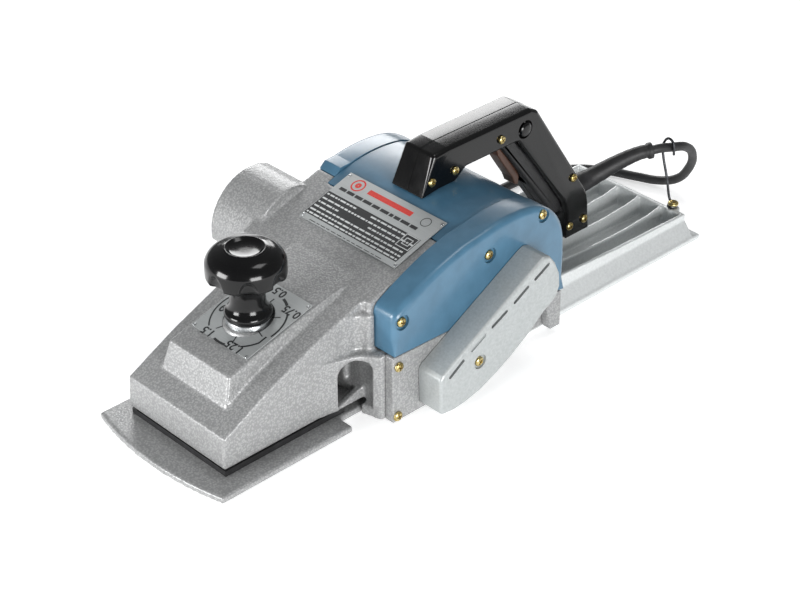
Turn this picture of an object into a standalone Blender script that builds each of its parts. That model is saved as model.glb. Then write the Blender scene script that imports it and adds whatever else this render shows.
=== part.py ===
"""A large hand-held electric carpenter's planer: two-part sole, cutter drum, belt drive, motor and handle.

Metres. +X is forward, +Y is the operator's left (the belt side), +Z is up and the sole lies at z = 0.
"""

import math

import bmesh
import bpy
from mathutils import Matrix, Vector

# Clearances
GAP = 0.0003  # between pieces that touch
SLIDE_GAP = 0.0006  # round a piece that moves in another
LIFT_GAP = 0.0007  # over the front shoe, beyond its travel

# Sole
SOLE_WIDTH = 0.142
SOLE_REAR = -0.2647
SHOE_FRONT = 0.2530
SHOE_BOW = 0.0095  # how far the middle of the front edge runs ahead of its corners
PLATE_THICK = 0.0052
SHOE_TRAVEL = 0.0015
SEAL_INSET = 0.0010  # from the side of the nose to the black seal under it
LIP_CLEARANCE = 0.0030  # between the cutting circle and each lip of the mouth

# Cutter drum
DRUM_X = 0.0560
CUT_RADIUS = 0.0278
DRUM_RADIUS = 0.0255
DRUM_CLEARANCE = 0.0030
KNIFE_LENGTH = 0.1360
KNIFE_THICK = 0.0016
SHAFT_RADIUS = 0.0050
BEARING_RADIUS = 0.0130
BEARING_WIDTH = 0.0070

# Main casting
CAST_WALL = 0.0040
NOSE_INSET = 0.0163  # from the edge of the sole to the side of the nose
NOSE_LIFT = 0.0120  # underside of the nose above the sole
NEAR_WALL_OUT = 0.0057  # how far the bearing walls stand out past the sole
FAR_WALL_OUT = 0.0093
HOUSING_INSET = 0.0090  # from the edge of the sole to the side covers' seam
CHUTE_REACH = 0.0447
CHUTE_RADIUS = 0.0430
CHUTE_WALL = 0.0035

# Covers and drive
PLATE_SIDE_THICK = 0.0080
COVER_DEPTH = 0.0235
COVER_WALL = 0.0025
DRUM_PULLEY_RADIUS = 0.0130
MOTOR_PULLEY_RADIUS = 0.0145
BELT_WIDTH = 0.0120
BELT_THICK = 0.0024
MOTOR_X = -0.0180
MOTOR_Z = 0.0680
STATOR_RADIUS = 0.0360
AIR_GAP = 0.0012

# Depth setting
KNOB_X = 0.1655
KNOB_RADIUS = 0.0297
KNOB_TOP = 0.1425
SPINDLE_RADIUS = 0.0050
SEAT_Z = 0.0803
RING_RADIUS = 0.0170
RING_HEIGHT = 0.0048

# Handle
HANDLE_HALF = 0.0165
HANDLE_TOP = 0.1575
BAR_UNDER = 0.1335
FOOT_Z = 0.0213

# Mains lead
CORD_DIAMETER = 0.0078
COIL_CENTRE = (-0.1000, -0.1450)
COIL_TURN_RADIUS = 0.0464
COIL_ACROSS = 2  # turns side by side in a layer
COIL_LAYERS = 4

# Screws
SCREW_HEAD = 0.0040
SCREW_SHANK = 0.0019

# Places that follow from the sizes above
half = SOLE_WIDTH / 2
drum_z = CUT_RADIUS + 0.0002
rear_lip = DRUM_X - math.sqrt(CUT_RADIUS**2 - (drum_z - 0.001) ** 2) - LIP_CLEARANCE
rear_lip_top = DRUM_X - math.sqrt(CUT_RADIUS**2 - (drum_z - PLATE_THICK) ** 2) - LIP_CLEARANCE
raised = SHOE_TRAVEL + 0.001
shoe_lip = DRUM_X + math.sqrt(CUT_RADIUS**2 - (drum_z - raised) ** 2) + LIP_CLEARANCE
shoe_lip_top = DRUM_X + math.sqrt(CUT_RADIUS**2 - (drum_z - raised - PLATE_THICK) ** 2) + LIP_CLEARANCE
nose_half = half - NOSE_INSET
near_wall = half + NEAR_WALL_OUT
far_wall = -(half + FAR_WALL_OUT)
seam = half - HOUSING_INSET
knife_half = KNIFE_LENGTH / 2
chamber_half = knife_half + SLIDE_GAP
side_plate_in = near_wall + GAP
side_plate_out = side_plate_in + PLATE_SIDE_THICK
cover_in = side_plate_out + GAP
cover_out = cover_in + COVER_DEPTH

scene = bpy.context.scene
for old in list(bpy.data.objects):
    bpy.data.objects.remove(old)
planer = bpy.data.collections.new("power_planer")
cutters = bpy.data.collections.new("cutters")
scene.collection.children.link(planer)
scene.collection.children.link(cutters)
cutters.hide_render = True


def material(name, colour, roughness, metallic):
    made = bpy.data.materials.new(name)
    made.use_nodes = True
    shader = made.node_tree.nodes["Principled BSDF"]
    shader.inputs["Base Color"].default_value = (*colour, 1)
    shader.inputs["Roughness"].default_value = roughness
    shader.inputs["Metallic"].default_value = metallic
    return made


hammered = material("hammered_enamel", (0.33, 0.35, 0.34), 0.42, 0.5)
cast_silver = material("silver_casting", (0.55, 0.57, 0.56), 0.4, 0.6)
blue_paint = material("blue_paint", (0.08, 0.2, 0.35), 0.3, 0.0)
bakelite = material("black_bakelite", (0.01, 0.01, 0.01), 0.15, 0.0)
brown_plastic = material("brown_plastic", (0.05, 0.025, 0.015), 0.35, 0.0)
steel = material("bright_steel", (0.6, 0.6, 0.6), 0.3, 1.0)
dark_steel = material("laminated_steel", (0.2, 0.2, 0.21), 0.5, 1.0)
zinc = material("yellow_zinc", (0.65, 0.5, 0.22), 0.3, 1.0)
label = material("label_aluminium", (0.72, 0.72, 0.7), 0.35, 1.0)
copper = material("copper", (0.6, 0.26, 0.12), 0.35, 1.0)
rubber = material("black_rubber", (0.012, 0.012, 0.012), 0.6, 0.0)


def link(obj, look=None):
    """Put a piece in the planer's collection, or in the cutters' when it has no finish of its own."""
    if look is None:
        cutters.objects.link(obj)
        obj.hide_render = True
        obj.display_type = "WIRE"
    else:
        planer.objects.link(obj)
        obj.data.materials.clear()
        obj.data.materials.append(look)
    return obj


def meshed(obj, look):
    """A curve made a closed mesh, which Booleans can cut."""
    scene.collection.objects.link(obj)
    bpy.context.view_layer.update()
    mesh = bpy.data.meshes.new_from_object(obj.evaluated_get(bpy.context.evaluated_depsgraph_get()))
    solid = bpy.data.objects.new(obj.name, mesh)
    solid.matrix_world = obj.matrix_world.copy()
    name = obj.name
    bpy.data.objects.remove(obj)
    solid.name = name
    bm = bmesh.new()
    bm.from_mesh(mesh)
    bmesh.ops.remove_doubles(bm, verts=bm.verts, dist=1e-6)
    bmesh.ops.recalc_face_normals(bm, faces=bm.faces)
    bm.to_mesh(mesh)
    bm.free()
    return link(solid, look)


def prism(name, outlines, low, high, along="Y", look=None):
    """Flat outlines, the first one the edge and the others holes, carried from low to high along an axis.

    Along Y the outline is (x, z), along Z it is (x, y) and along X it is (y, z).
    """
    curve = bpy.data.curves.new(name, "CURVE")
    curve.dimensions = "2D"
    curve.fill_mode = "BOTH"
    curve.extrude = (high - low) / 2
    for outline in outlines:
        spline = curve.splines.new("POLY")
        spline.points.add(len(outline) - 1)
        for point, (a, b) in zip(spline.points, outline):
            point.co = (a, b, 0, 1)
        spline.use_cyclic_u = True
    obj = bpy.data.objects.new(name, curve)
    middle = (low + high) / 2
    if along == "Y":
        obj.rotation_euler = (math.pi / 2, 0, 0)
        obj.location = (0, middle, 0)
    elif along == "X":
        obj.rotation_euler = (math.pi / 2, 0, math.pi / 2)
        obj.location = (middle, 0, 0)
    else:
        obj.location = (0, 0, middle)
    return meshed(obj, look)


def box(name, low, high, look=None):
    mesh = bpy.data.meshes.new(name)
    bm = bmesh.new()
    size = Vector(high) - Vector(low)
    place = Matrix.Translation((Vector(high) + Vector(low)) / 2) @ Matrix.Diagonal((*size, 1))
    bmesh.ops.create_cube(bm, size=1, matrix=place)
    bm.to_mesh(mesh)
    bm.free()
    return link(bpy.data.objects.new(name, mesh), look)


def hull(name, points, look=None):
    """The solid that a tight skin over the points would enclose."""
    mesh = bpy.data.meshes.new(name)
    bm = bmesh.new()
    for point in points:
        bm.verts.new(point)
    bmesh.ops.convex_hull(bm, input=bm.verts)
    bmesh.ops.recalc_face_normals(bm, faces=bm.faces)
    bm.to_mesh(mesh)
    bm.free()
    return link(bpy.data.objects.new(name, mesh), look)


def toward(direction):
    """The turn that takes +Z to a direction."""
    return Vector(direction).to_track_quat("Z", "Y").to_euler()


def rod(name, radius, start, end, sides=24, look=None):
    start, end = Vector(start), Vector(end)
    mesh = bpy.data.meshes.new(name)
    bm = bmesh.new()
    depth = (end - start).length
    bmesh.ops.create_cone(bm, cap_ends=True, segments=sides, radius1=radius, radius2=radius, depth=depth)
    bm.to_mesh(mesh)
    bm.free()
    obj = bpy.data.objects.new(name, mesh)
    obj.rotation_euler = toward(end - start)
    obj.location = (start + end) / 2
    return link(obj, look)


def turned(name, profile, at, direction=(0, 0, 1), sides=32, look=None):
    """A profile of (radius, height), listed down its outer side, turned round an axis through a point."""
    mesh = bpy.data.meshes.new(name)
    mesh.from_pydata([(r, 0, z) for r, z in profile], [(i, i + 1) for i in range(len(profile) - 1)], [])
    obj = bpy.data.objects.new(name, mesh)
    if profile[0][0] > 0:
        mesh.clear_geometry()
        loop = [(i, (i + 1) % len(profile)) for i in range(len(profile))]
        mesh.from_pydata([(r, 0, z) for r, z in profile], loop, [])
    screw = obj.modifiers.new("turn", "SCREW")
    screw.steps = screw.render_steps = sides
    screw.use_merge_vertices = True
    screw.merge_threshold = 1e-5
    obj.rotation_euler = toward(direction)
    obj.location = at
    return link(obj, look)


def tube(name, points, radius, look, kind="POLY", roundness=2, radii=None, resolution=4):
    curve = bpy.data.curves.new(name, "CURVE")
    curve.dimensions = "3D"
    curve.bevel_depth = radius
    curve.bevel_resolution = roundness
    curve.use_fill_caps = True
    curve.resolution_u = resolution
    spline = curve.splines.new(kind)
    spline.points.add(len(points) - 1)
    for i, (point, place) in enumerate(zip(spline.points, points)):
        point.co = (*place, 1)
        point.radius = radii[i] if radii else 1
    return meshed(bpy.data.objects.new(name, curve), look)


def shape(obj, other, operation):
    step = obj.modifiers.new(operation.lower() + "_" + other.name, "BOOLEAN")
    step.operation = operation
    step.object = other
    step.solver = "EXACT"
    return obj


def cut(obj, *others):
    for other in others:
        shape(obj, other, "DIFFERENCE")
    return obj


def join(obj, *others):
    for other in others:
        shape(obj, other, "UNION")
    return obj


def arc(centre, radius, first, last, steps):
    """Points on a circle from one angle to another, in degrees."""
    turns = [math.radians(first + (last - first) * i / steps) for i in range(steps + 1)]
    return [(centre[0] + radius * math.cos(t), centre[1] + radius * math.sin(t)) for t in turns]


def inset(path, depth):
    """The same open path moved sideways by depth, to its right, with mitred corners."""
    moved = []
    for i, here in enumerate(path):
        here = Vector(here)
        before = (here - Vector(path[i - 1])).normalized() if i else None
        after = (Vector(path[i + 1]) - here).normalized() if i < len(path) - 1 else None
        before = before or after
        after = after or before
        normal = Vector((before.y + after.y, -before.x - after.x)).normalized()
        reach = depth / max(0.4, normal.dot(Vector((before.y, -before.x))))
        moved.append(tuple(here + normal * reach))
    return moved


def smooth_route(points, step):
    """Evenly spaced points on a smooth curve through the given ones."""
    knots = [Vector(p) for p in points]
    knots = [2 * knots[0] - knots[1], *knots, 2 * knots[-1] - knots[-2]]
    fine = []
    for a, b, c, d in zip(knots, knots[1:], knots[2:], knots[3:]):
        for i in range(20):
            t = i / 20
            fine.append(0.5 * (2 * b + (c - a) * t + (2 * a - 5 * b + 4 * c - d) * t**2
                               + (3 * b - a - 3 * c + d) * t**3))
    fine.append(knots[-2])
    lengths = [0.0]
    for a, b in zip(fine, fine[1:]):
        lengths.append(lengths[-1] + (b - a).length)
    count = max(2, round(lengths[-1] / step))
    spaced = []
    at = 0
    for i in range(count + 1):
        want = lengths[-1] * i / count
        while at < len(fine) - 2 and lengths[at + 1] < want:
            at += 1
        share = (want - lengths[at]) / max(1e-9, lengths[at + 1] - lengths[at])
        spaced.append(fine[at].lerp(fine[at + 1], min(1, share)))
    return spaced



def fastener(name, seat, direction, length, through, head=SCREW_HEAD):
    """A pan-head screw whose head rests on seat, with a clearance hole in each piece it passes."""
    out = Vector(direction).normalized()
    base = Vector(seat) + out * GAP
    tall = head * 0.62
    profile = [(0, tall), (head * 0.55, tall), (head, tall * 0.45), (head, 0), (SCREW_SHANK, 0),
               (SCREW_SHANK, -length), (0, -length)]
    made = turned(name, profile, base, out, 12, zinc)
    hole = rod(name + "_hole", SCREW_SHANK + GAP, base - out * (length + 0.001), base + out * 0.002, 8)
    cut_all(hole, through)
    return made


def on_axis(name, at, pieces):
    """An empty on a joint's axis, which carries the pieces that move about it without moving them now."""
    axis = bpy.data.objects.new(name, None)
    axis.location = at
    planer.objects.link(axis)
    bpy.context.view_layer.update()
    for piece in pieces:
        piece.parent = axis
        piece.matrix_parent_inverse = axis.matrix_world.inverted()


def cut_all(cutter, pieces):
    for piece in pieces:
        cut(piece, cutter)


# ---- Outlines that several pieces share -------------------------------------------------------------

def slope(x):
    """Height of the main casting's top at a place along the planer."""
    knots = [(0.0155, 0.1222), (0.104, 0.0955), (0.150, 0.079), (0.195, 0.0595), (0.2362, 0.038)]
    for (x0, z0), (x1, z1) in zip(knots, knots[1:]):
        if x <= x1:
            return z0 + (z1 - z0) * (x - x0) / (x1 - x0)
    return knots[-1][1]


DOME = [(0.0160, 0.1220), (0.0040, 0.1246), (-0.0100, 0.1262), (-0.0270, 0.1262), (-0.0440, 0.1238),
        (-0.0570, 0.1183), (-0.0670, 0.1106), (-0.0745, 0.0998), (-0.0784, 0.0860), (-0.0795, 0.0700)]
COVER_EDGE = [(0.1010, 0.0588), (0.0480, 0.0569), (-0.0400, 0.0453), (-0.0790, 0.0383)]
PLATEAU_TOP = [(0.0855, 0.1008), (0.1292, 0.0913), (0.1939, 0.0739), (0.2125, 0.0690)]
NOSE_TIP = 0.2370
STEP_X = 0.1040  # where the nose widens into the bearing walls
HOUSING_FRONT = 0.0330


def main_frame():
    """The front casting: nose, drum chamber, bearing walls and chip chute in one."""
    top = [(x, slope(x)) for x in (0.2362, 0.195, 0.150, STEP_X - 0.006)]
    nose = [(STEP_X - 0.006, NOSE_LIFT), (NOSE_TIP, NOSE_LIFT), (NOSE_TIP + 0.0005, 0.017)] + top
    body = prism("main_frame", [nose], -nose_half, nose_half, "Y", hammered)
    deck = [(HOUSING_FRONT, 0.045), (STEP_X, 0.045), (STEP_X, slope(STEP_X)),
            (HOUSING_FRONT, slope(HOUSING_FRONT))]
    ledge = [(x if x > 0.05 else 0.0252, z) for x, z in deck[:3]] + [(0.0252, slope(0.0252))]
    join(body, prism("deck", [deck], far_wall + 0.002, seam - GAP, "Y"))
    join(body, prism("far_deck", [ledge], far_wall, -seam + 0.0002, "Y"))
    side = [(-0.070, 0.0065), (rear_lip + 0.001, 0.0065), (rear_lip + 0.001, 0.0010),
            (STEP_X - 0.0005, 0.0010),
            (STEP_X - 0.0005, COVER_EDGE[0][1] - 0.001), (COVER_EDGE[1][0], COVER_EDGE[1][1] - 0.001),
            (COVER_EDGE[2][0], COVER_EDGE[2][1] - 0.001), (-0.070, COVER_EDGE[3][1] + 0.0006)]
    join(body, prism("near_wall", [side], chamber_half, near_wall, "Y"))
    join(body, prism("far_wall", [side], far_wall, -chamber_half, "Y"))
    front_wall = [(STEP_X - 0.006, 0.0125), (STEP_X, 0.0125), (STEP_X, 0.056), (STEP_X - 0.006, 0.056)]
    join(body, prism("front_wall", [front_wall], far_wall + 0.001, near_wall - 0.001, "Y"))
    toe = chamber_half - 0.0100
    for sign, reach, name in ((1, near_wall, "near"), (-1, -far_wall, "far")):
        foot = [(0.1115, toe), (0.1095, toe + 0.0060), (0.1080, reach - 0.004), (0.1065, reach - 0.001),
                (0.1035, reach), (0.099, reach), (0.099, toe)]
        low = [(0.150, nose_half - 0.003), (0.150, nose_half), (0.134, nose_half + 0.0023),
               (0.122, nose_half + 0.0062), (0.1135, nose_half + 0.0115), (0.1095, nose_half + 0.0165),
               *foot[2:6], (0.099, nose_half - 0.003)]
        high = [(0.126, nose_half - 0.003), (0.126, nose_half), (0.114, nose_half + 0.0018),
                (0.109, nose_half + 0.005), (0.107, seam + 0.002), (0.1014, seam + 0.003),
                (0.1014, nose_half - 0.003)]
        join(body,
             prism(name + "_column", [[(x, sign * y) for x, y in foot]], 0.0010, NOSE_LIFT + 0.002, "Z"))
        join(body, prism(name + "_fillet", [[(x, sign * y) for x, y in low]], NOSE_LIFT, 0.0570, "Z"))
        if sign > 0:
            join(body, prism(name + "_flare", [[(x, sign * y) for x, y in high]], 0.0565, 0.0872, "Z"))
    points = []
    for x, z in PLATEAU_TOP:
        points += [(x, -0.0335, z), (x, 0.0335, z)]
    points += [(0.2195, -0.0372, 0.046), (0.2195, 0.0372, 0.046), (0.0900, -0.0372, 0.090),
               (0.0900, 0.0372, 0.090)]
    join(body, hull("plateau", points))
    seat = rod("knob_seat", RING_RADIUS + 0.0018, (KNOB_X, 0, 0.060), (KNOB_X, 0, SEAT_Z), 32)
    join(body, seat)
    centre = (0.057, 0.073)
    hood = arc(centre, CHUTE_RADIUS, 100, -8, 12) + [(0.0905, 0.0640), (0.0760, 0.0480), (0.0450, 0.0480),
                                                     (0.0400, 0.0600), (0.0400, 0.1120)]
    mouth = arc(centre, CHUTE_RADIUS - CHUTE_WALL, 100, -6, 12) + [(0.0880, 0.0655), (0.0745, 0.0515),
                                                                   (0.0470, 0.0515), (0.0435, 0.0600)]
    mouth += [(0.0435, 0.1095)]
    join(body, prism("hood", [hood], far_wall - CHUTE_REACH, far_wall + 0.006, "Y"))
    # The hollow nose, open below, with a boss for the depth spindle
    hollow = [(STEP_X + 0.006, -0.010), (NOSE_TIP - CAST_WALL, -0.010), (NOSE_TIP - CAST_WALL, 0.034)]
    hollow += [(x, slope(x) - CAST_WALL) for x in (0.228, 0.195, 0.150, STEP_X + 0.006)]
    cut(body, prism("nose_hollow", [hollow], -nose_half + CAST_WALL, nose_half - CAST_WALL, "Y"))
    join(body, rod("spindle_boss", 0.012, (KNOB_X, 0, 0.044), (KNOB_X, 0, 0.0785), 24))
    cut(body, rod("spindle_bore", SPINDLE_RADIUS + GAP, (KNOB_X, 0, 0.040), (KNOB_X, 0, 0.100), 24))
    cut(body, rod("seat_pocket", RING_RADIUS + 0.0018, (KNOB_X, 0, SEAT_Z), (KNOB_X, 0, 0.110), 32))
    # The drum chamber, open below, with the chip channel above and in front of it
    chamber = arc((DRUM_X, drum_z), CUT_RADIUS + DRUM_CLEARANCE, 0, 180, 16)
    chamber += [(DRUM_X - CUT_RADIUS - DRUM_CLEARANCE, -0.010),
                (DRUM_X + CUT_RADIUS + DRUM_CLEARANCE, -0.010)]
    cut(body, prism("chamber", [chamber], -chamber_half, chamber_half, "Y"))
    throat = [(DRUM_X + 0.006, 0.050), (DRUM_X + 0.029, 0.036), (DRUM_X + 0.029, 0.066),
              (DRUM_X + 0.006, 0.066)]
    cut(body, prism("throat", [throat], -chamber_half + 0.004, chamber_half - 0.004, "Y"))
    channel = [(0.0455, 0.0645), (0.0930, 0.0645), (0.0930, 0.0900), (0.0780, 0.0985), (0.0455, 0.1065)]
    cut(body, prism("channel", [channel], far_wall + 0.004, seam - 0.006, "Y"))
    cut(body, prism("chute_mouth", [mouth], far_wall - CHUTE_REACH - 0.001, far_wall + 0.0045, "Y"))
    # Bearing seats and the way through for the drum's shaft
    cut(body,
        rod("near_seat", BEARING_RADIUS + GAP, (DRUM_X, 0.05, drum_z), (DRUM_X, near_wall + 0.001, drum_z),
            32))
    cut(body, rod("far_seat", BEARING_RADIUS + GAP, (DRUM_X, -0.05, drum_z),
                  (DRUM_X, -chamber_half - BEARING_WIDTH - GAP, drum_z), 32))
    # An arched recess in the foot of the flare, on the belt side
    recess = arc((0.1190, 0.0400), 0.0130, 0, 180, 10) + [(0.1060, 0.0100), (0.1320, 0.0100)]
    cut(body, prism("arch_recess", [recess], nose_half + 0.0020, nose_half + 0.0145, "Y"))
    return body


def front_shoe():
    """The movable front half of the sole, with the hollow block that slides inside the nose."""
    bow = [(SHOE_FRONT + SHOE_BOW * (1 - (y / half) ** 2), y) for y in
           [half * (1 - i / 6) for i in range(13)]]
    narrow = chamber_half - 0.0120
    outline = [(0.1300, -half), (0.1300, -narrow), (shoe_lip_top, -narrow), (shoe_lip_top, narrow),
               (0.1300, narrow), (0.1300, half)] + bow
    shoe = prism("front_shoe", [outline], 0, PLATE_THICK, "Z", hammered)
    lip = [(shoe_lip, 0), (shoe_lip, 0.001), (shoe_lip_top, PLATE_THICK),
           (shoe_lip_top + 0.004, PLATE_THICK),
           (shoe_lip_top + 0.004, 0)]
    join(shoe, prism("shoe_lip", [lip], -narrow, narrow, "Y"))
    block_half = nose_half - CAST_WALL - SLIDE_GAP
    low_x, high_x = STEP_X + 0.006 + SLIDE_GAP + 0.016, NOSE_TIP - CAST_WALL - SLIDE_GAP
    rim = [(low_x, -block_half), (high_x, -block_half), (high_x, block_half), (low_x, block_half)]
    wall = 0.005
    inner = [(low_x + wall, -block_half + wall), (high_x - wall, -block_half + wall),
             (high_x - wall, block_half - wall), (low_x + wall, block_half - wall)]
    join(shoe, prism("block", [rim, inner], PLATE_THICK - 0.001, 0.0270, "Z"))
    web = block_half - 0.001
    join(shoe, box("cross_web", (KNOB_X - 0.0025, -web, 0.004), (KNOB_X + 0.0025, web, 0.020)))
    join(shoe, rod("nut_boss", 0.011, (KNOB_X, 0, 0.002), (KNOB_X, 0, 0.0300), 24))
    cut(shoe, rod("nut_bore", SPINDLE_RADIUS + GAP, (KNOB_X, 0, 0.0035), (KNOB_X, 0, 0.040), 24))
    seal_half = nose_half - SEAL_INSET
    width = seal_half - block_half - GAP
    front, rear = NOSE_TIP - SEAL_INSET, low_x - GAP - width
    rim = [(rear, -seal_half), (front, -seal_half), (front, seal_half), (rear, seal_half)]
    inner = [(rear + width, -seal_half + width), (front - width, -seal_half + width),
             (front - width, seal_half - width), (rear + width, seal_half - width)]
    seal_top = NOSE_LIFT - SHOE_TRAVEL - GAP
    prism("shoe_seal", [rim, inner], PLATE_THICK + GAP, seal_top, "Z", rubber)
    return shoe


def depth_setting():
    """Knob, ring, spindle, its clip and the spring that takes up the play."""
    r = KNOB_RADIUS
    t = KNOB_TOP
    base = SEAT_Z + GAP + RING_HEIGHT + GAP
    bore = SPINDLE_RADIUS - 0.0010 + GAP
    profile = [(0, t - 0.0030), (0.0120, t - 0.0026), (0.0148, t - 0.0004), (0.0162, t),
               (r * 0.74, t - 0.0010),
               (r * 0.92, t - 0.0048), (r, t - 0.0110), (r, t - 0.0185), (r * 0.96, t - 0.0222),
               (r * 0.82, t - 0.0250), (0.0180, t - 0.0272), (0.0142, t - 0.0310), (0.0131, t - 0.0370),
               (0.0134, base + 0.0125), (0.0150, base + 0.0075), (0.0174, base + 0.0048),
               (0.0177, base + 0.0020),
               (0.0170, base), (bore, base), (bore, t - 0.0150), (0, t - 0.0150)]
    turned("depth_knob", profile, (KNOB_X, 0, 0), (0, 0, 1), 40, bakelite)
    ring_low = SEAT_Z + GAP
    ring = [(RING_RADIUS - 0.0008, ring_low + RING_HEIGHT), (RING_RADIUS, ring_low + RING_HEIGHT - 0.0008),
            (RING_RADIUS, ring_low), (SPINDLE_RADIUS + GAP, ring_low),
            (SPINDLE_RADIUS + GAP, ring_low + RING_HEIGHT)]
    turned("knob_ring", ring, (KNOB_X, 0, 0), (0, 0, 1), 40, steel)
    neck = SPINDLE_RADIUS - 0.0010
    spindle = [(0, t - 0.0160), (neck, t - 0.0160), (neck, base), (SPINDLE_RADIUS, base - GAP),
               (SPINDLE_RADIUS, 0.0420), (SPINDLE_RADIUS - 0.001, 0.0418), (SPINDLE_RADIUS - 0.001, 0.0400),
               (SPINDLE_RADIUS, 0.0398), (SPINDLE_RADIUS, 0.0070), (0, 0.0070)]
    turned("depth_spindle", spindle, (KNOB_X, 0, 0), (0, 0, 1), 24, steel)
    clip = [(0.0085, 0.0416), (0.0085, 0.0402), (SPINDLE_RADIUS - 0.001 + GAP, 0.0402),
            (SPINDLE_RADIUS - 0.001 + GAP, 0.0416)]
    turned("spindle_clip", clip, (KNOB_X, 0, 0), (0, 0, 1), 20, steel)
    turns, steps, low, high, coil = 3, 12, 0.0315, 0.0390, 0.0080
    points = []
    for i in range(turns * steps + 1):
        angle = 2 * math.pi * i / steps
        share = i / (turns * steps)
        points.append((KNOB_X + coil * math.cos(angle), coil * math.sin(angle), low + (high - low) * share))
    tube("shoe_spring", points, 0.0007, steel, roundness=1)


def label_plate(name, corner, end, half_width, thick, opening=None):
    """A thin plate lying on a slope from one (x, z) to another."""
    (x0, z0), (x1, z1) = corner, end
    run = math.hypot(x1 - x0, z1 - z0)
    up = ((z0 - z1) / run, (x1 - x0) / run)
    lift = [(x0 + up[0] * GAP, z0 + up[1] * GAP), (x1 + up[0] * GAP, z1 + up[1] * GAP)]
    top = [(x + up[0] * thick, z + up[1] * thick) for x, z in lift]
    plate = prism(name, [[lift[0], lift[1], top[1], top[0]]], -half_width, half_width, "Y", label)
    if opening:
        cut(plate, opening)


def labels():
    hole = rod("dial_hole", RING_RADIUS + 0.0024, (KNOB_X, 0, 0.06), (KNOB_X, 0, 0.11), 32)
    (x0, z0), (x1, z1) = PLATEAU_TOP[1:3]
    ends = [(x, z0 + (z1 - z0) * (x - x0) / (x1 - x0)) for x in (x0 + 0.0013, x1 - 0.0004)]
    label_plate("scale_plate", *ends, 0.0310, 0.0008, hole)
    label_plate("rating_plate", (0.0166, slope(0.0166) + 0.0002), (0.0700, slope(0.0700) + 0.0002), 0.0524,
                0.0008)


def motor_housing():
    """The blue middle shell: an arched wall with a bearing bulkhead at each side."""
    path = [(HOUSING_FRONT - GAP, slope(HOUSING_FRONT)), *DOME, (-0.0790, 0.0500), (-0.0780, 0.0350)]
    wall = path + list(reversed(inset([(x, z) for x, z in path], -0.0030)))
    shell = prism("motor_housing", [wall], -seam + GAP, seam - GAP, "Y", blue_paint)
    chamber_back = DRUM_X - CUT_RADIUS - DRUM_CLEARANCE - 0.0005
    filled = [(HOUSING_FRONT - GAP, slope(HOUSING_FRONT) - 0.001), *[(x, z - 0.0008) for x, z in DOME],
              (-0.0785, 0.0500), (-0.0775, 0.0350), (chamber_back, 0.0350), (chamber_back, 0.0480),
              (HOUSING_FRONT - GAP, 0.0520)]
    join(shell, box("rear_skirt", (-0.0790, -half + 0.0150, 0.0250), (-0.0760, half - 0.0150, 0.0400)))
    held = arc((MOTOR_X, MOTOR_Z), STATOR_RADIUS + GAP, 0, 348.75, 31)
    brush_hole = arc((MOTOR_X, MOTOR_Z), 0.0333, 0, 345, 23)
    join(shell, prism("stator_web", [filled, held], 0.0140, 0.0180, "Y"))
    join(shell, prism("stator_web", [filled, held], -0.0180, -0.0140, "Y"))
    join(shell, prism("brush_web", [filled, brush_hole], -0.0415, -0.0385, "Y"))
    for sign, name in ((1, "near"), (-1, "far")):
        outer, deep = sign * (seam - GAP), sign * (seam - 0.0060)
        join(shell, prism(name + "_bulkhead", [filled], min(outer, deep), max(outer, deep), "Y"))
        seat = (MOTOR_X, sign * (seam - 0.0085), MOTOR_Z)
        join(shell,
             rod(name + "_boss", BEARING_RADIUS + 0.0040, seat, (MOTOR_X, sign * (seam - 0.003), MOTOR_Z),
                 24))
        cut(shell, rod(name + "_motor_seat", BEARING_RADIUS + GAP, (MOTOR_X, sign * 0.04, MOTOR_Z),
                       (MOTOR_X, sign * (seam - 0.0015 if sign < 0 else seam + 0.002), MOTOR_Z), 24))
    return shell


def side_cover(name, sign, outline, outer):
    """A blue cover, open on its inner side, from the seam out to its flat face."""
    low, high = sorted((sign * seam, outer))
    shell = prism(name, [outline], low, high, "Y", blue_paint)
    centre = Vector((0.0, 0.085))
    hollow = []
    for x, z in outline:
        inward = (centre - Vector((x, z))).normalized() * COVER_WALL * 1.25
        hollow.append((x + inward.x, z + inward.y))
    inner = sorted((sign * (seam - 0.002), outer - sign * COVER_WALL))
    cut(shell, prism(name + "_hollow", [hollow], inner[0], inner[1], "Y"))
    return shell


def housing_covers():
    near_top = [(0.1010, 0.0880), (0.0980, 0.0935), (0.0920, 0.0975), (0.0720, 0.1073), (0.0510, 0.1158),
                (0.0280, 0.1222)]
    dome = [(x, z + 0.0008) for x, z in DOME[1:]]
    near = side_cover("belt_side_cover", 1, [*COVER_EDGE[:1], *near_top, *dome, *reversed(COVER_EDGE[1:])],
                      side_plate_out)
    cut(near,
        rod("shaft_way", SHAFT_RADIUS + 0.0040, (MOTOR_X, seam, MOTOR_Z),
            (MOTOR_X, side_plate_out + 0.01, MOTOR_Z)))
    far_top = [(0.0246, 0.0590), (0.0246, 0.1200), (0.0190, 0.1243)]
    far = side_cover("chute_side_cover", -1, [*far_top, *dome[1:], (-0.0790, 0.0383), (-0.0400, 0.0453),
                                              (-0.0100, 0.0590)], far_wall - 0.0030)
    return near, far


def belt_side_plate():
    """The flat plate under the belt-side cover, which carries the belt cover."""
    top = [(x - (0.0022 if x > 0.1 else -0.0025 if x < -0.07 else 0), z - GAP - 0.0001)
           for x, z in COVER_EDGE]
    top[0] = (STEP_X - 0.0008, top[0][1])
    low = [(-0.0765, 0.0065), (-0.0655, 0.0065), (-0.0600, 0.0300), (-0.0250, 0.0340), (-0.0100, 0.0100),
           (0.0000, 0.0012), (STEP_X - 0.0008, 0.0012)]
    hole = arc((DRUM_X, drum_z), BEARING_RADIUS - 0.0025, 0, 337.5, 15)
    return prism("belt_side_plate", [top + low, hole], side_plate_in, side_plate_out, "Y", hammered)


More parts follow.
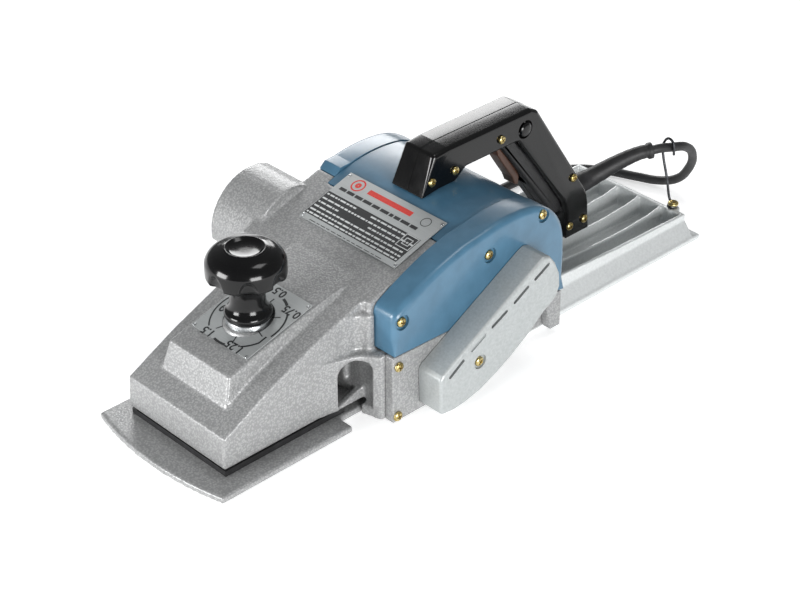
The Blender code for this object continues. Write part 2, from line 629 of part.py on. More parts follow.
def belt_cover():
    outline = [(0.0769, 0.0072), (0.0778, 0.0382), (0.0750, 0.0417), (0.0685, 0.0455), (0.0256, 0.0690),
               (-0.0240, 0.0960), (-0.0301, 0.0985), (-0.0360, 0.0965), (-0.0421, 0.0886), (-0.0474, 0.0771),
               (-0.0482, 0.0660), (-0.0455, 0.0590), (-0.0418, 0.0553), (-0.0306, 0.0487), (-0.0145, 0.0362),
               (0.0038, 0.0248), (0.0179, 0.0177), (0.0360, 0.0100), (0.0520, 0.0066), (0.0640, 0.0056)]
    cover = prism("belt_cover", [outline], cover_in, cover_out, "Y", cast_silver)
    centre = Vector((0.015, 0.053))
    hollow = []
    for i, (x, z) in enumerate(outline):
        before = Vector(outline[i - 1])
        after = Vector(outline[(i + 1) % len(outline)])
        along = (after - before).normalized()
        inward = Vector((along.y, -along.x))
        if inward.dot(centre - Vector((x, z))) < 0:
            inward = -inward
        hollow.append((x + inward.x * COVER_WALL, z + inward.y * COVER_WALL))
    cut(cover, prism("cover_hollow", [hollow], cover_in - 0.001, cover_out - COVER_WALL, "Y"))
    middle = (0.0372, 0.0368)
    join(cover,
         rod("cover_boss", 0.0036, (middle[0], cover_in, middle[1]),
             (middle[0], cover_out - 0.001, middle[1]), 16))
    for start, end in (((0.0691, 0.0367), (0.0537, 0.0466)), ((0.0259, 0.0613), (0.0090, 0.0693)),
                       ((0.0027, 0.0721), (-0.0132, 0.0809)), ((-0.0189, 0.0831), (-0.0349, 0.0913))):
        way = (Vector(end) - Vector(start)).normalized() * 0.0009
        side = Vector((-way.y, way.x))
        corners = [Vector(start) + side, Vector(end) + side, Vector(end) - side, Vector(start) - side]
        cut(cover,
            prism("cover_slot", [[tuple(c) for c in corners]], cover_out - 0.006, cover_out + 0.002, "Y"))
    return cover


def drive():
    """Drum, knives, pulleys, belt and bearings."""
    pulley_low = cover_in + 0.0035
    pulley_high = pulley_low + BELT_WIDTH + 0.0015
    axis = (0, 1, 0)
    at = (DRUM_X, 0, drum_z)
    far_end = chamber_half + BEARING_WIDTH
    flange = SHAFT_RADIUS + 0.0015
    profile = [(0, pulley_high), (SHAFT_RADIUS, pulley_high), (SHAFT_RADIUS, chamber_half - GAP),
               (flange, chamber_half - GAP), (flange, knife_half), (DRUM_RADIUS, knife_half),
               (DRUM_RADIUS, -knife_half), (flange, -knife_half), (flange, -chamber_half + GAP),
               (SHAFT_RADIUS, -chamber_half + GAP), (SHAFT_RADIUS, -far_end), (0, -far_end)]
    drum = turned("cutter_drum", profile, at, axis, 40, steel)
    spinning = []
    for number, sign in ((1, 1), (2, -1)):
        tip = sign * (math.sqrt(CUT_RADIUS**2 - (0.0030 + KNIFE_THICK) ** 2) - 0.0001)
        root = sign * (DRUM_RADIUS - 0.0100)
        z = drum_z + sign * 0.0030
        edges = sorted((DRUM_X + tip, DRUM_X + root))
        faces = sorted((z, z + sign * KNIFE_THICK))
        knife = "knife_%d" % number
        blade = box(knife, (edges[0], -knife_half, faces[0]), (edges[1], knife_half, faces[1]), steel)
        pocket_x = sorted((DRUM_X + root - sign * GAP, DRUM_X + sign * (DRUM_RADIUS + 0.003)))
        pocket_z = sorted((z + sign * (KNIFE_THICK + GAP), z - sign * 0.0090))
        pocket = box(knife + "_pocket", (pocket_x[0], -knife_half - 0.001, pocket_z[0]),
                     (pocket_x[1], knife_half + 0.001, pocket_z[1]))
        cut(drum, pocket)
        out = math.sqrt(DRUM_RADIUS**2 - (z - drum_z) ** 2) - 0.0008
        clamp_z = sorted((z - sign * GAP, z - sign * 0.0086))
        clamp_x = sorted((DRUM_X + root, DRUM_X + sign * out))
        clamp = box("knife_clamp_%d" % number, (clamp_x[0], -knife_half, clamp_z[0]),
                    (clamp_x[1], knife_half, clamp_z[1]), steel)
        spinning += [blade, clamp]
    on_axis("drum_axis", at, spinning)
    for name, low in (("near", near_wall - BEARING_WIDTH - 0.0002), ("far", -chamber_half - BEARING_WIDTH)):
        bearing("drum_bearing_" + name, (DRUM_X, low, drum_z))
    pulley("drum_pulley", (DRUM_X, 0, drum_z), DRUM_PULLEY_RADIUS, pulley_low, pulley_high)
    pulley("motor_pulley", (MOTOR_X, 0, MOTOR_Z), MOTOR_PULLEY_RADIUS, pulley_low, pulley_high)
    loops = []
    for extra in (BELT_THICK + GAP, GAP):
        loops.append(round_both((DRUM_X, drum_z), DRUM_PULLEY_RADIUS + extra, (MOTOR_X, MOTOR_Z),
                                MOTOR_PULLEY_RADIUS + extra))
    prism("drive_belt", loops, pulley_low + 0.0010, pulley_low + 0.0010 + BELT_WIDTH - 0.0005, "Y", rubber)


def round_both(first, r1, second, r2):
    """The loop that a belt takes round two circles."""
    first, second = Vector(first), Vector(second)
    line = second - first
    heading = math.degrees(math.atan2(line.y, line.x))
    lean = math.degrees(math.acos((r1 - r2) / line.length))
    loop = arc(first, r1, heading + lean, heading + 360 - lean, 14)
    return loop + arc(second, r2, heading - lean, heading + lean, 14)


def bearing(name, low):
    x, y, z = low
    profile = [(BEARING_RADIUS, y + BEARING_WIDTH), (BEARING_RADIUS, y), (SHAFT_RADIUS + GAP, y),
               (SHAFT_RADIUS + GAP, y + BEARING_WIDTH)]
    turned(name, profile, (x, 0, z), (0, 1, 0), 24, steel)


def pulley(name, at, radius, low, high):
    rim = radius + 0.0016
    profile = [(rim, high), (rim, high - 0.0008), (radius, high - 0.0009), (radius, low + 0.0009),
               (rim, low + 0.0008), (rim, low), (SHAFT_RADIUS + GAP, low), (SHAFT_RADIUS + GAP, high)]
    turned(name, profile, at, (0, 1, 0), 32, steel)


def motor():
    """Armature, commutator, fan, stator, brushes and bearings, all on one axis."""
    at = (MOTOR_X, 0, MOTOR_Z)
    end = cover_in + 0.0035 + BELT_WIDTH + 0.0015
    near, far = seam - 0.0016, -seam + 0.0018
    core = STATOR_RADIUS * 0.62
    profile = [(0, end), (SHAFT_RADIUS, end), (SHAFT_RADIUS, 0.034), (core * 0.75, 0.033),
               (core * 0.75, 0.026),
               (core, 0.026), (core, -0.026), (core * 0.75, -0.026), (core * 0.75, -0.031),
               (SHAFT_RADIUS, -0.032),
               (SHAFT_RADIUS, far), (0, far)]
    turned("armature", profile, at, (0, 1, 0), 28, dark_steel)
    ring = [(0.0135, -0.0330), (0.0135, -0.0470), (SHAFT_RADIUS + GAP, -0.0470),
            (SHAFT_RADIUS + GAP, -0.0330)]
    turned("commutator", ring, at, (0, 1, 0), 24, copper)
    disc = [(STATOR_RADIUS, 0.0385), (STATOR_RADIUS, 0.0370), (SHAFT_RADIUS + GAP, 0.0370),
            (SHAFT_RADIUS + GAP, 0.0385)]
    fan = turned("cooling_fan", disc, at, (0, 1, 0), 32, brown_plastic)
    star = []
    for i in range(9):
        for turn, r in ((0, 0.010), (4, STATOR_RADIUS - 0.001), (9, STATOR_RADIUS - 0.001), (22, 0.010)):
            angle = math.radians(40 * i + turn)
            star.append((MOTOR_X + r * math.cos(angle), MOTOR_Z + r * math.sin(angle)))
    hub = arc((MOTOR_X, MOTOR_Z), SHAFT_RADIUS + GAP, 0, 337.5, 15)
    join(fan, prism("fan_blades", [star, hub], 0.0380, 0.0480, "Y"))
    bore = core + AIR_GAP
    stack = [(STATOR_RADIUS, 0.0260), (STATOR_RADIUS, -0.0260), (bore, -0.0260), (bore, 0.0260)]
    turned("stator", stack, at, (0, 1, 0), 32, dark_steel)
    for name, side in (("front", 1), ("rear", -1)):
        low = sorted((MOTOR_X + side * (0.0135 + GAP), MOTOR_X + side * 0.0330))
        box("brush_holder_" + name, (low[0], -0.0450, MOTOR_Z - 0.0060),
            (low[1], -0.0350, MOTOR_Z + 0.0060), copper)
    bearing("motor_bearing_near", (MOTOR_X, near - BEARING_WIDTH, MOTOR_Z))
    bearing("motor_bearing_far", (MOTOR_X, far, MOTOR_Z))


def rear_base():
    """The fixed rear half of the sole: a ribbed casting with a flange all round."""
    rear_wall = SOLE_REAR + 0.0080
    wall_y = half - 0.0110
    lip = [(rear_lip, 0), (rear_lip, 0.0010), (rear_lip_top, PLATE_THICK), (SOLE_REAR, PLATE_THICK - 0.0007),
           (SOLE_REAR, 0)]
    base = prism("rear_base", [lip], -half, half, "Y", cast_silver)
    side = [(rear_lip_top - 0.010, 0.004), (rear_lip_top - 0.018, 0.0240), (-0.0600, 0.0300),
            (-0.1060, 0.0280), (-0.1740, 0.0242),
            (rear_wall, 0.0222), (rear_wall, 0.004)]
    for sign in (1, -1):
        y = sorted((sign * wall_y, sign * (wall_y - 0.0035)))
        join(base, prism("base_side", [side], y[0], y[1], "Y"))
        skirt = []
        for x in (rear_wall, -0.0600):
            skirt += [(x, sign * (wall_y - 0.001), 0.004), (x, sign * (wall_y - 0.001), 0.0180),
                      (x, sign * wall_y, 0.0120), (x, sign * (half - 0.001), PLATE_THICK - 0.001),
                      (x, sign * (half - 0.001), 0.003)]
        join(base, hull("base_skirt", skirt))
    join(base, box("base_end", (rear_wall, -wall_y, 0.004), (rear_wall + 0.0040, wall_y, 0.0222)))
    join(base, box("base_bridge", (-0.0850, -wall_y, 0.004), (-0.0810, wall_y, 0.0240)))
    rib = [(-0.0840, 0.004), (-0.0840, 0.0238), (-0.1360, 0.0208), (-0.1700, 0.0182), (-0.2050, 0.0172),
           (rear_wall + 0.0190, 0.0190), (rear_wall + 0.0010, 0.0220), (rear_wall + 0.0010, 0.004)]
    for y in (-0.0360, -0.0120, 0.0120, 0.0360):
        join(base, prism("base_rib", [rib], y - 0.0015, y + 0.0015, "Y"))
    join(base, box("foot_boss", (-0.1870, -0.0128, 0.004), (-0.1530, 0.0128, FOOT_Z - GAP)))
    join(base,
         rod("hanger_boss", 0.0060, (SOLE_REAR + 0.0075, 0.0460, 0.0035),
             (SOLE_REAR + 0.0075, 0.0460, 0.0226), 20))
    return base


def handle():
    """Two moulded halves with the switch, trigger and lock button between them."""
    body = [(0.0080, 0.1246), (-0.0050, 0.1560), (-0.0080, HANDLE_TOP), (-0.1120, HANDLE_TOP),
            (-0.1185, 0.1530),
            (-0.1670, 0.0790), (-0.1770, 0.0635), (-0.1815, 0.0550), (-0.1835, 0.0460), (-0.1835, FOOT_Z),
            (-0.1565, FOOT_Z), (-0.1565, 0.0450), (-0.1515, 0.0572), (-0.0975, BAR_UNDER),
            (-0.0400, BAR_UNDER),
            (-0.0270, 0.1268), (-0.0100, 0.1268), (0.0000, 0.1256)]
    grip = [(-0.0960, BAR_UNDER + 0.002), (-0.0820, BAR_UNDER + 0.002), (-0.0840, 0.1300), (-0.1350, 0.0600),
            (-0.1420, 0.0480), (-0.1500, 0.0450), (-0.1580, 0.0480), (-0.1580, 0.0600)]
    swing = [(-0.0803, 0.1440), (-0.0803, BAR_UNDER - 0.003), (-0.1010, 0.0840), (-0.1210, 0.0840),
             (-0.1030, 0.1180),
             (-0.0990, 0.1440)]
    box_at = ((-0.1415, -0.0102, 0.0878), (-0.1208, 0.0102, 0.1102))
    halves = []
    for name, sign in (("handle_left", 1), ("handle_right", -1)):
        low, high = sorted((-sign * 0.0020, sign * HANDLE_HALF))
        shell = prism(name, [body], low, high, "Y", bakelite)
        low, high = sorted((-sign * 0.0010, sign * 0.0115))
        join(shell, prism(name + "_grip", [grip], low, high, "Y"))
        parting = sorted((-sign * 0.0060, sign * GAP / 2))
        cut(shell, box(name + "_parting", (-0.200, parting[0], 0.010), (0.020, parting[1], 0.170)))
        edge = sorted((-sign * 0.001, sign * (0.0065 + SLIDE_GAP)))
        cut(shell, prism(name + "_slot", [swing], edge[0], edge[1], "Y"))
        cut(shell, box(name + "_switch_room", box_at[0], box_at[1]))
        cut(shell, rod(name + "_guard_seat", 0.0098, (-0.1720, 0, 0.0540), (-0.1900, 0, 0.0540), 24))
        cut(shell, rod(name + "_lead_way", 0.0042, (-0.1300, 0, 0.0930), (-0.1730, 0, 0.0550), 12))
        halves.append(shell)
    cut(halves[0], rod("lock_recess", 0.0078, (-0.1035, 0.0128, 0.1422), (-0.1035, 0.0200, 0.1422), 24))
    cut(halves[0], rod("lock_way", 0.0035, (-0.1035, 0.0088, 0.1422), (-0.1035, 0.0200, 0.1422), 16))
    button = [(0, 0.0186), (0.0040, 0.0186), (0.0058, 0.0176), (0.0060, 0.0165), (0.0060, 0.0162),
              (0.0030, 0.0161),
              (0.0030, 0.0125), (0, 0.0125)]
    turned("lock_button", button, (-0.1035, 0, 0.1422), (0, 1, 0), 24, bakelite)
    box("switch_body", tuple(v + 0.0003 for v in box_at[0]), tuple(v - 0.0003 for v in box_at[1]), rubber)
    paddle = [(-0.0830, 0.1400), (-0.0815, 0.1310), (-0.0840, 0.1220), (-0.0925, 0.1090), (-0.1010, 0.0965),
              (-0.1045, 0.0885), (-0.1085, 0.0875), (-0.1090, 0.0950), (-0.1000, 0.1120), (-0.0935, 0.1250),
              (-0.0930, 0.1400)]
    pin = arc((-0.0880, 0.1360), 0.0019, 0, 315, 7)
    trigger = prism("trigger", [paddle, pin], -0.0065, 0.0065, "Y", brown_plastic)
    on_axis("trigger_axis", (-0.0880, 0, 0.1360), [trigger])
    rod("trigger_pin", 0.0015, (-0.0880, -0.0120, 0.1360), (-0.0880, 0.0120, 0.1360), 12, steel)
    cut_all(rod("pin_seat", 0.0018, (-0.0880, -0.0123, 0.1360), (-0.0880, 0.0123, 0.1360), 12), halves)
    return halves


# The lead's route after its guard, chosen by eye: through the wire hanger, down behind the rear end, round it on
# the floor and along the chute side to the coil. The last two points run straight into the coil's outer turn.
GUARD_ROUTE = [(-0.1728, 0.0000, 0.0540), (-0.1850, 0.0000, 0.0540), (-0.2000, 0.0030, 0.0566),
               (-0.2190, 0.0140, 0.0672), (-0.2330, 0.0235, 0.0743), (-0.2440, 0.0295, 0.0757)]
LEAD_ROUTE = [(-0.2590, 0.0358, 0.0752), (-0.2840, 0.0345, 0.0655), (-0.3010, 0.0285, 0.0480),
              (-0.3090, 0.0190, 0.0290), (-0.3110, 0.0060, 0.0130), (-0.3075, -0.0110, 0.0056),
              (-0.3000, -0.0310, 0.0043), (-0.2890, -0.0560, 0.0041), (-0.2700, -0.0790, 0.0041),
              (-0.2420, -0.0930, 0.0041), (-0.2080, -0.0975, 0.0041), (-0.1740, -0.0962, 0.0041)]
PLUG_AT = (0.0200, -0.1025)


def mains_lead():
    """Moulded guard, flexible lead, coil, plug and the short end of the lead between coil and plug."""
    widths = [1.0, 0.98, 0.84, 0.72, 0.64, 0.60]
    guard = smooth_route(GUARD_ROUTE, 0.006)
    radii = []
    for i in range(len(guard)):
        share = i / (len(guard) - 1) * (len(widths) - 1)
        k = min(int(share), len(widths) - 2)
        radii.append(widths[k] + (widths[k + 1] - widths[k]) * (share - k))
    tube("cord_guard", guard, 0.0094, rubber, roundness=4, radii=radii)
    radius = CORD_DIAMETER / 2
    way = (guard[-1] - guard[-2]).normalized()
    coil_x, coil_y = COIL_CENTRE
    wide = COIL_ACROSS * CORD_DIAMETER / 2
    tall = COIL_LAYERS * CORD_DIAMETER
    outer, inner = COIL_TURN_RADIUS + wide, COIL_TURN_RADIUS - wide
    entry_y = coil_y + outer - radius
    straight = [(coil_x - 0.0400, entry_y, 0.0041), (coil_x - 0.0150, entry_y, 0.0041)]
    lead = smooth_route([guard[-1] + way * 0.0080, *LEAD_ROUTE, *straight], CORD_DIAMETER * 2.2)
    tube("cord", [guard[-1] + way * GAP, *lead], radius, rubber)
    ring = [(outer - 0.003, tall), (outer, tall - 0.003), (outer, 0.003), (outer - 0.003, 0.0002),
            (inner + 0.003, 0.0002), (inner, 0.003), (inner, tall - 0.003), (inner + 0.003, tall)]
    coil = turned("cord_coil", ring, (*COIL_CENTRE, 0), (0, 0, 1), 40, rubber)
    far_end = (straight[1][0] + GAP, entry_y, 0.0041)
    cut(coil, rod("coil_entry", radius + 0.0005, (coil_x - 0.0700, entry_y, 0.0041), far_end, 16))
    z = 0.0002
    body = [(-0.0125, z), (0.0125, z), (0.0180, z + 0.0060), (0.0180, z + 0.0185), (0.0125, z + 0.0245),
            (-0.0125, z + 0.0245), (-0.0180, z + 0.0185), (-0.0180, z + 0.0060)]
    x, y = PLUG_AT
    plug = prism("plug", [[(y + a, b) for a, b in body]], x, x + 0.0400, "X", rubber)
    axis = z + 0.0122
    relief = turned("plug_relief",
                    [(0, 0.0260), (0.0048, 0.0260), (0.0095, 0.0010), (0.0095, -0.0040), (0, -0.0040)],
                    (x, y, axis), (-1, 0, 0), 20)
    join(plug, relief)
    for side in (-0.0095, 0.0095):
        join(plug, rod("plug_pin", 0.0024, (x + 0.030, y + side, axis), (x + 0.0590, y + side, axis), 12))
    top = tall - radius
    reach = coil_x + math.sqrt(outer**2 - (y - coil_y) ** 2)
    end = x - 0.0263
    tail = [(end, y, axis), (end - 0.0080, y, axis + 0.0001), (end - 0.0200, y, axis + 0.0032),
            (end - 0.0320, y, top - 0.0045), (end - 0.0440, y, top - 0.0008), (reach + 0.0040, y, top),
            (reach - 0.0060, y, top)]
    tube("cord_tail", smooth_route(tail, CORD_DIAMETER * 1.2), radius, rubber)
    cut(coil, rod("tail_entry", radius + 0.0005, (reach - 0.0063, y, top), (x, y, top), 16))


def cord_hanger(base):
    """A wire arm that holds the lead clear of the work, clamped by one screw."""
    x, y = SOLE_REAR + 0.0075, 0.0460
    eye = [(x + 0.0042 * math.cos(a), y + 0.0042 * math.sin(a), 0.0242) for a in
           [math.radians(20 - 30 * i) for i in range(8)]]
    arm = [(-0.2600, 0.0400, 0.0265), (-0.2592, 0.0360, 0.0450), (-0.2590, 0.0305, 0.0640),
           (-0.2590, 0.0292, 0.0745),
           (-0.2590, 0.0322, 0.0815), (-0.2590, 0.0362, 0.0832), (-0.2590, 0.0402, 0.0800),
           (-0.2592, 0.0412, 0.0700)]
    points = smooth_route(eye + arm, 0.0042)
    tube("cord_hanger", points, 0.0011, dark_steel, roundness=1)
    fastener("hanger_screw", (x, y, 0.0256), (0, 0, 1), 0.0120, [base], 0.0046)


def screws(frame, near, plate, cover, halves):
    left, right = halves
    places = (("top_cover_screw", (-0.0529, 0.1150)), ("middle_cover_screw", (0.0043, 0.1040)),
              ("front_cover_screw", (0.0930, 0.0853)))
    for name, (x, z) in places:
        fastener(name, (x, side_plate_out, z), (0, 1, 0), 0.0070, [near])
    fastener("upper_plate_screw", (0.0976, side_plate_out, 0.0495), (0, 1, 0), 0.0140, [plate, frame])
    fastener("lower_plate_screw", (0.0990, side_plate_out, 0.0062), (0, 1, 0), 0.0140, [plate, frame])
    fastener("belt_cover_screw", (0.0372, cover_out - 0.0020, 0.0368), (0, 1, 0), 0.0200, [cover])
    cut(cover, rod("screw_recess", SCREW_HEAD + 0.0010, (0.0372, cover_out - 0.0020, 0.0368),
                   (0.0372, cover_out + 0.002, 0.0368), 20))
    handle_places = ((-0.0020, 0.1350), (-0.0265, 0.1358), (-0.0765, 0.1435), (-0.1620, 0.0765),
                     (-0.1775, 0.0320),
                     (-0.1600, 0.0320))
    for i, (x, z) in enumerate(handle_places):
        fastener("handle_screw_%d" % (i + 1), (x, HANDLE_HALF, z), (0, 1, 0), 0.0270, [left, right], 0.0036)


frame = main_frame()
front_shoe()
depth_setting()
labels()
housing = motor_housing()
near_cover, far_cover = housing_covers()
side_plate = belt_side_plate()
belt_guard = belt_cover()
drive()
motor()
base = rear_base()
handle_halves = handle()
mains_lead()
cord_hanger(base)
screws(frame, near_cover, side_plate, belt_guard, handle_halves)
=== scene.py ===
import math
import random

import bmesh
import bpy
from mathutils import Matrix, Vector


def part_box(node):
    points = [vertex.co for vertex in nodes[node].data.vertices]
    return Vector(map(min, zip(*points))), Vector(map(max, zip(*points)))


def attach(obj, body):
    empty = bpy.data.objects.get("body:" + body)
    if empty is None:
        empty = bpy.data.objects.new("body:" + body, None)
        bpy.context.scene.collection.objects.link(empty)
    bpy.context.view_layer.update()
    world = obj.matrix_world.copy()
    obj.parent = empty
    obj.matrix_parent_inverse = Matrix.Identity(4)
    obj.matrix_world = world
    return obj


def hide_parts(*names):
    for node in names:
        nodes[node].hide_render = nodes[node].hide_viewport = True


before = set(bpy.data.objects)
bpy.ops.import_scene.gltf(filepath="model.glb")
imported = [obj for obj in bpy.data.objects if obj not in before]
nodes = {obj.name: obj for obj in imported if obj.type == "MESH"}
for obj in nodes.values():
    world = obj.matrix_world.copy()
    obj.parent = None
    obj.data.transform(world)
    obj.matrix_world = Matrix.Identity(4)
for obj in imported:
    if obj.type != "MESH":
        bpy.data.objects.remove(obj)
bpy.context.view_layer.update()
scene = bpy.context.scene
root = "planer_body"
mm = 0.001


# small helpers

def linear(code):  # sRGB hex to Blender's linear colour
    shares = [int(code[i:i + 2], 16) / 255 for i in (1, 3, 5)]
    return (*[s / 12.92 if s <= 0.04045 else ((s + 0.055) / 1.055) ** 2.4 for s in shares], 1.0)


def addNode(tree, kind, settings=None, inputs=None):  # a value is set, an output socket is linked
    node = tree.nodes.new(kind)
    for key, value in (settings or {}).items():
        setattr(node, key, value)
    for key, value in (inputs or {}).items():
        if isinstance(value, bpy.types.NodeSocket):
            tree.links.new(value, node.inputs[key])
        else:
            node.inputs[key].default_value = value
    return node


def finished(name, mesh, slot, body=root, replaced=()):  # a piece at the origin, in its finish, its CAD nodes hidden, hung on its body's empty
    piece = bpy.data.objects.new(name, mesh)
    scene.collection.objects.link(piece)
    mesh.materials.clear()
    mesh.materials.append(finishes[slot])
    for node in replaced:
        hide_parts(node)
    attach(piece, body)
    return piece


def asMesh(obj):  # the evaluated shape as one plain mesh, its place applied
    bpy.context.view_layer.update()
    depsgraph = bpy.context.evaluated_depsgraph_get()
    mesh = bpy.data.meshes.new_from_object(obj.evaluated_get(depsgraph))
    mesh.transform(obj.matrix_world)
    bpy.data.objects.remove(obj)
    return mesh


def meshFrom(bm, name):
    mesh = bpy.data.meshes.new(name)
    bm.to_mesh(mesh)
    bm.free()
    return mesh


def tidied(mesh, angle=32):  # doubles merged, faces outwards, round surfaces smooth
    bm = bmesh.new()
    bm.from_mesh(mesh)
    bmesh.ops.remove_doubles(bm, verts=bm.verts, dist=2e-6)
    bmesh.ops.recalc_face_normals(bm, faces=bm.faces)
    bm.to_mesh(mesh)
    bm.free()
    mesh.shade_smooth()
    mesh.set_sharp_from_angle(angle=math.radians(angle))
    return mesh


def carved(mesh, cutters, operation="DIFFERENCE"):
    obj = bpy.data.objects.new("blank", mesh)
    scene.collection.objects.link(obj)
    tools = []
    for cutter in cutters:
        tool = bpy.data.objects.new("tool", cutter)
        scene.collection.objects.link(tool)
        tools.append(tool)
        step = obj.modifiers.new("step", "BOOLEAN")
        step.operation = operation
        step.object = tool
    made = asMesh(obj)
    for tool in tools:
        bpy.data.objects.remove(tool)
    return tidied(made)


def place(u, v, w, along):  # outline coordinates and depth to the planer's axes
    return {"Y": (u, w, v), "X": (w, u, v), "Z": (u, v, w)}[along]


def rounded(points, radius, steps=5):  # each corner of a closed outline as an arc
    made = []
    count = len(points)
    for i, corner in enumerate(points):
        corner = Vector(corner)
        size = radius[i] if isinstance(radius, (list, tuple)) else radius
        before = Vector(points[i - 1]) - corner
        after = Vector(points[(i + 1) % count]) - corner
        opening = before.angle(after)
        reach = min(size / math.tan(opening / 2), before.length * 0.48, after.length * 0.48)
        if reach < 1e-5 or opening > 3.1:
            made.append(tuple(corner))
            continue
        start, end = corner + before.normalized() * reach, corner + after.normalized() * reach
        for k in range(steps + 1):
            t = k / steps
            made.append(tuple(start * (1 - t) ** 2 + corner * 2 * t * (1 - t) + end * t * t))
    return made


def smoothPath(points, steps=6):  # Catmull-Rom through open points of any dimension
    knots = [Vector(p) for p in points]
    knots = [2 * knots[0] - knots[1], *knots, 2 * knots[-1] - knots[-2]]
    made = []
    for a, b, c, d in zip(knots, knots[1:], knots[2:], knots[3:]):
        for k in range(steps):
            t = k / steps
            made.append(0.5 * (2 * b + (c - a) * t + (2 * a - 5 * b + 4 * c - d) * t ** 2
                               + (3 * b - a - 3 * c + d) * t ** 3))
    return [*made, knots[-2]]


# A closed slab between low and high. Its edge at high is rounded by rim, a number or a function of (u, v).
def rimmed(outline, low, high, rim, along="Y", steps=6, lowRim=0.0003):
    outline = [Vector(p) for p in outline]
    area = sum(a.x * b.y - b.x * a.y for a, b in zip(outline, outline[1:] + outline[:1]))
    if area < 0:
        outline.reverse()
    inward = []
    for i, here in enumerate(outline):
        a = (here - outline[i - 1]).normalized()
        b = (outline[(i + 1) % len(outline)] - here).normalized()
        normal = Vector((-a.y - b.y, a.x + b.x)).normalized()
        inward.append(normal / max(0.6, normal.dot(Vector((-a.y, a.x)))))
    sign = 1 if high > low else -1
    rings = [(lowRim, low), (0, low + sign * lowRim)]
    bm = bmesh.new()
    layers = []
    for depth, level in rings:
        layers.append([bm.verts.new(place(*(p + n * depth), level, along)) for p, n in zip(outline, inward)])
    for k in range(steps + 1):
        turn = math.pi / 2 * k / steps
        layer = []
        for p, n in zip(outline, inward):
            r = rim(*p) if callable(rim) else rim
            q = p + n * (r * (1 - math.cos(turn)))
            layer.append(bm.verts.new(place(*q, high - sign * r * (1 - math.sin(turn)), along)))
        layers.append(layer)
    count = len(outline)
    for a, b in zip(layers, layers[1:]):
        for i in range(count):
            j = (i + 1) % count
            bm.faces.new((a[i], a[j], b[j], b[i]))
    bm.faces.new(layers[0])
    bm.faces.new(layers[-1])
    bmesh.ops.recalc_face_normals(bm, faces=bm.faces)
    return meshFrom(bm, "slab")


# The profile is (radius, height) down the outer side. shapeOf(angle, radius, height) may change the radius.
def turnedMesh(profile, centre, along="Z", sides=64, shapeOf=None):
    bm = bmesh.new()
    rings = []
    for radius, height in profile:
        ring = []
        for i in range(sides):
            angle = 2 * math.pi * i / sides
            r = shapeOf(angle, radius, height) if shapeOf else radius
            spot = centre[0] + r * math.cos(angle), centre[1] + r * math.sin(angle)
            ring.append(bm.verts.new(place(*spot, height, along)))
        rings.append(ring)
    for a, b in zip(rings, rings[1:]):
        for i in range(sides):
            j = (i + 1) % sides
            bm.faces.new((a[i], a[j], b[j], b[i]))
    bm.faces.new(rings[0])
    bm.faces.new(rings[-1])
    bmesh.ops.recalc_face_normals(bm, faces=bm.faces)
    return meshFrom(bm, "turned")


def rodMesh(radius, start, end, sides=28):
    start, end = Vector(start), Vector(end)
    bm = bmesh.new()
    spot = Matrix.Translation((start + end) / 2) @ (end - start).to_track_quat("Z", "Y").to_matrix().to_4x4()
    bmesh.ops.create_cone(bm, cap_ends=True, segments=sides, radius1=radius, radius2=radius,
                          depth=(end - start).length, matrix=spot)
    return meshFrom(bm, "rod")


def boxMesh(low, high):
    bm = bmesh.new()
    size = Vector(high) - Vector(low)
    bmesh.ops.create_cube(bm, size=1, matrix=Matrix.Translation((Vector(low) + Vector(high)) / 2)
                          @ Matrix.Diagonal((*size, 1)))
    return meshFrom(bm, "box")


def joined(meshes):
    bm = bmesh.new()
    for mesh in meshes:
        bm.from_mesh(mesh)
    return meshFrom(bm, "joined")


def tubeMesh(points, radius, radii=None, roundness=5):
    curve = bpy.data.curves.new("tube", "CURVE")
    curve.dimensions = "3D"
    curve.bevel_depth = radius
    curve.bevel_resolution = roundness
    curve.use_fill_caps = True
    spline = curve.splines.new("POLY")
    spline.points.add(len(points) - 1)
    for i, (point, spot) in enumerate(zip(spline.points, points)):
        point.co = (*spot, 1)
        point.radius = radii[i] if radii else 1
    obj = bpy.data.objects.new("tube", curve)
    scene.collection.objects.link(obj)
    return tidied(asMesh(obj), 50)


# The CAD solid with its edges rounded as a sand casting's are; share of its triangles is kept.
def worn(node, voxel, rounds, share, cutters=()):
    mesh = nodes[node].data.copy()
    tidied(mesh)
    if cutters:
        mesh = carved(mesh, cutters)
    obj = bpy.data.objects.new("casting", mesh)
    scene.collection.objects.link(obj)
    grid = obj.modifiers.new("grid", "REMESH")
    grid.mode = "VOXEL"
    grid.voxel_size = voxel
    soft = obj.modifiers.new("soft", "SMOOTH")
    soft.factor = 0.5
    soft.iterations = rounds
    thin = obj.modifiers.new("thin", "DECIMATE")
    thin.ratio = share
    made = asMesh(obj)
    made.shade_smooth()
    return made


# camera and light

camera = {"lens": 93.151, "at": (0.942, 0.981, 0.903), "back": (0.577, 0.601, 0.553),
          "shift": (-0.0177, 0.0310)}


def addCamera():
    data = bpy.data.cameras.new("camera")
    data.sensor_width = 36
    data.lens = camera["lens"]
    data.shift_x, data.shift_y = camera["shift"]
    data.clip_end = 20
    obj = bpy.data.objects.new("camera", data)
    scene.collection.objects.link(obj)
    obj.location = camera["at"]
    obj.rotation_euler = (-Vector(camera["back"])).to_track_quat("-Z", "Y").to_euler()
    scene.camera = obj


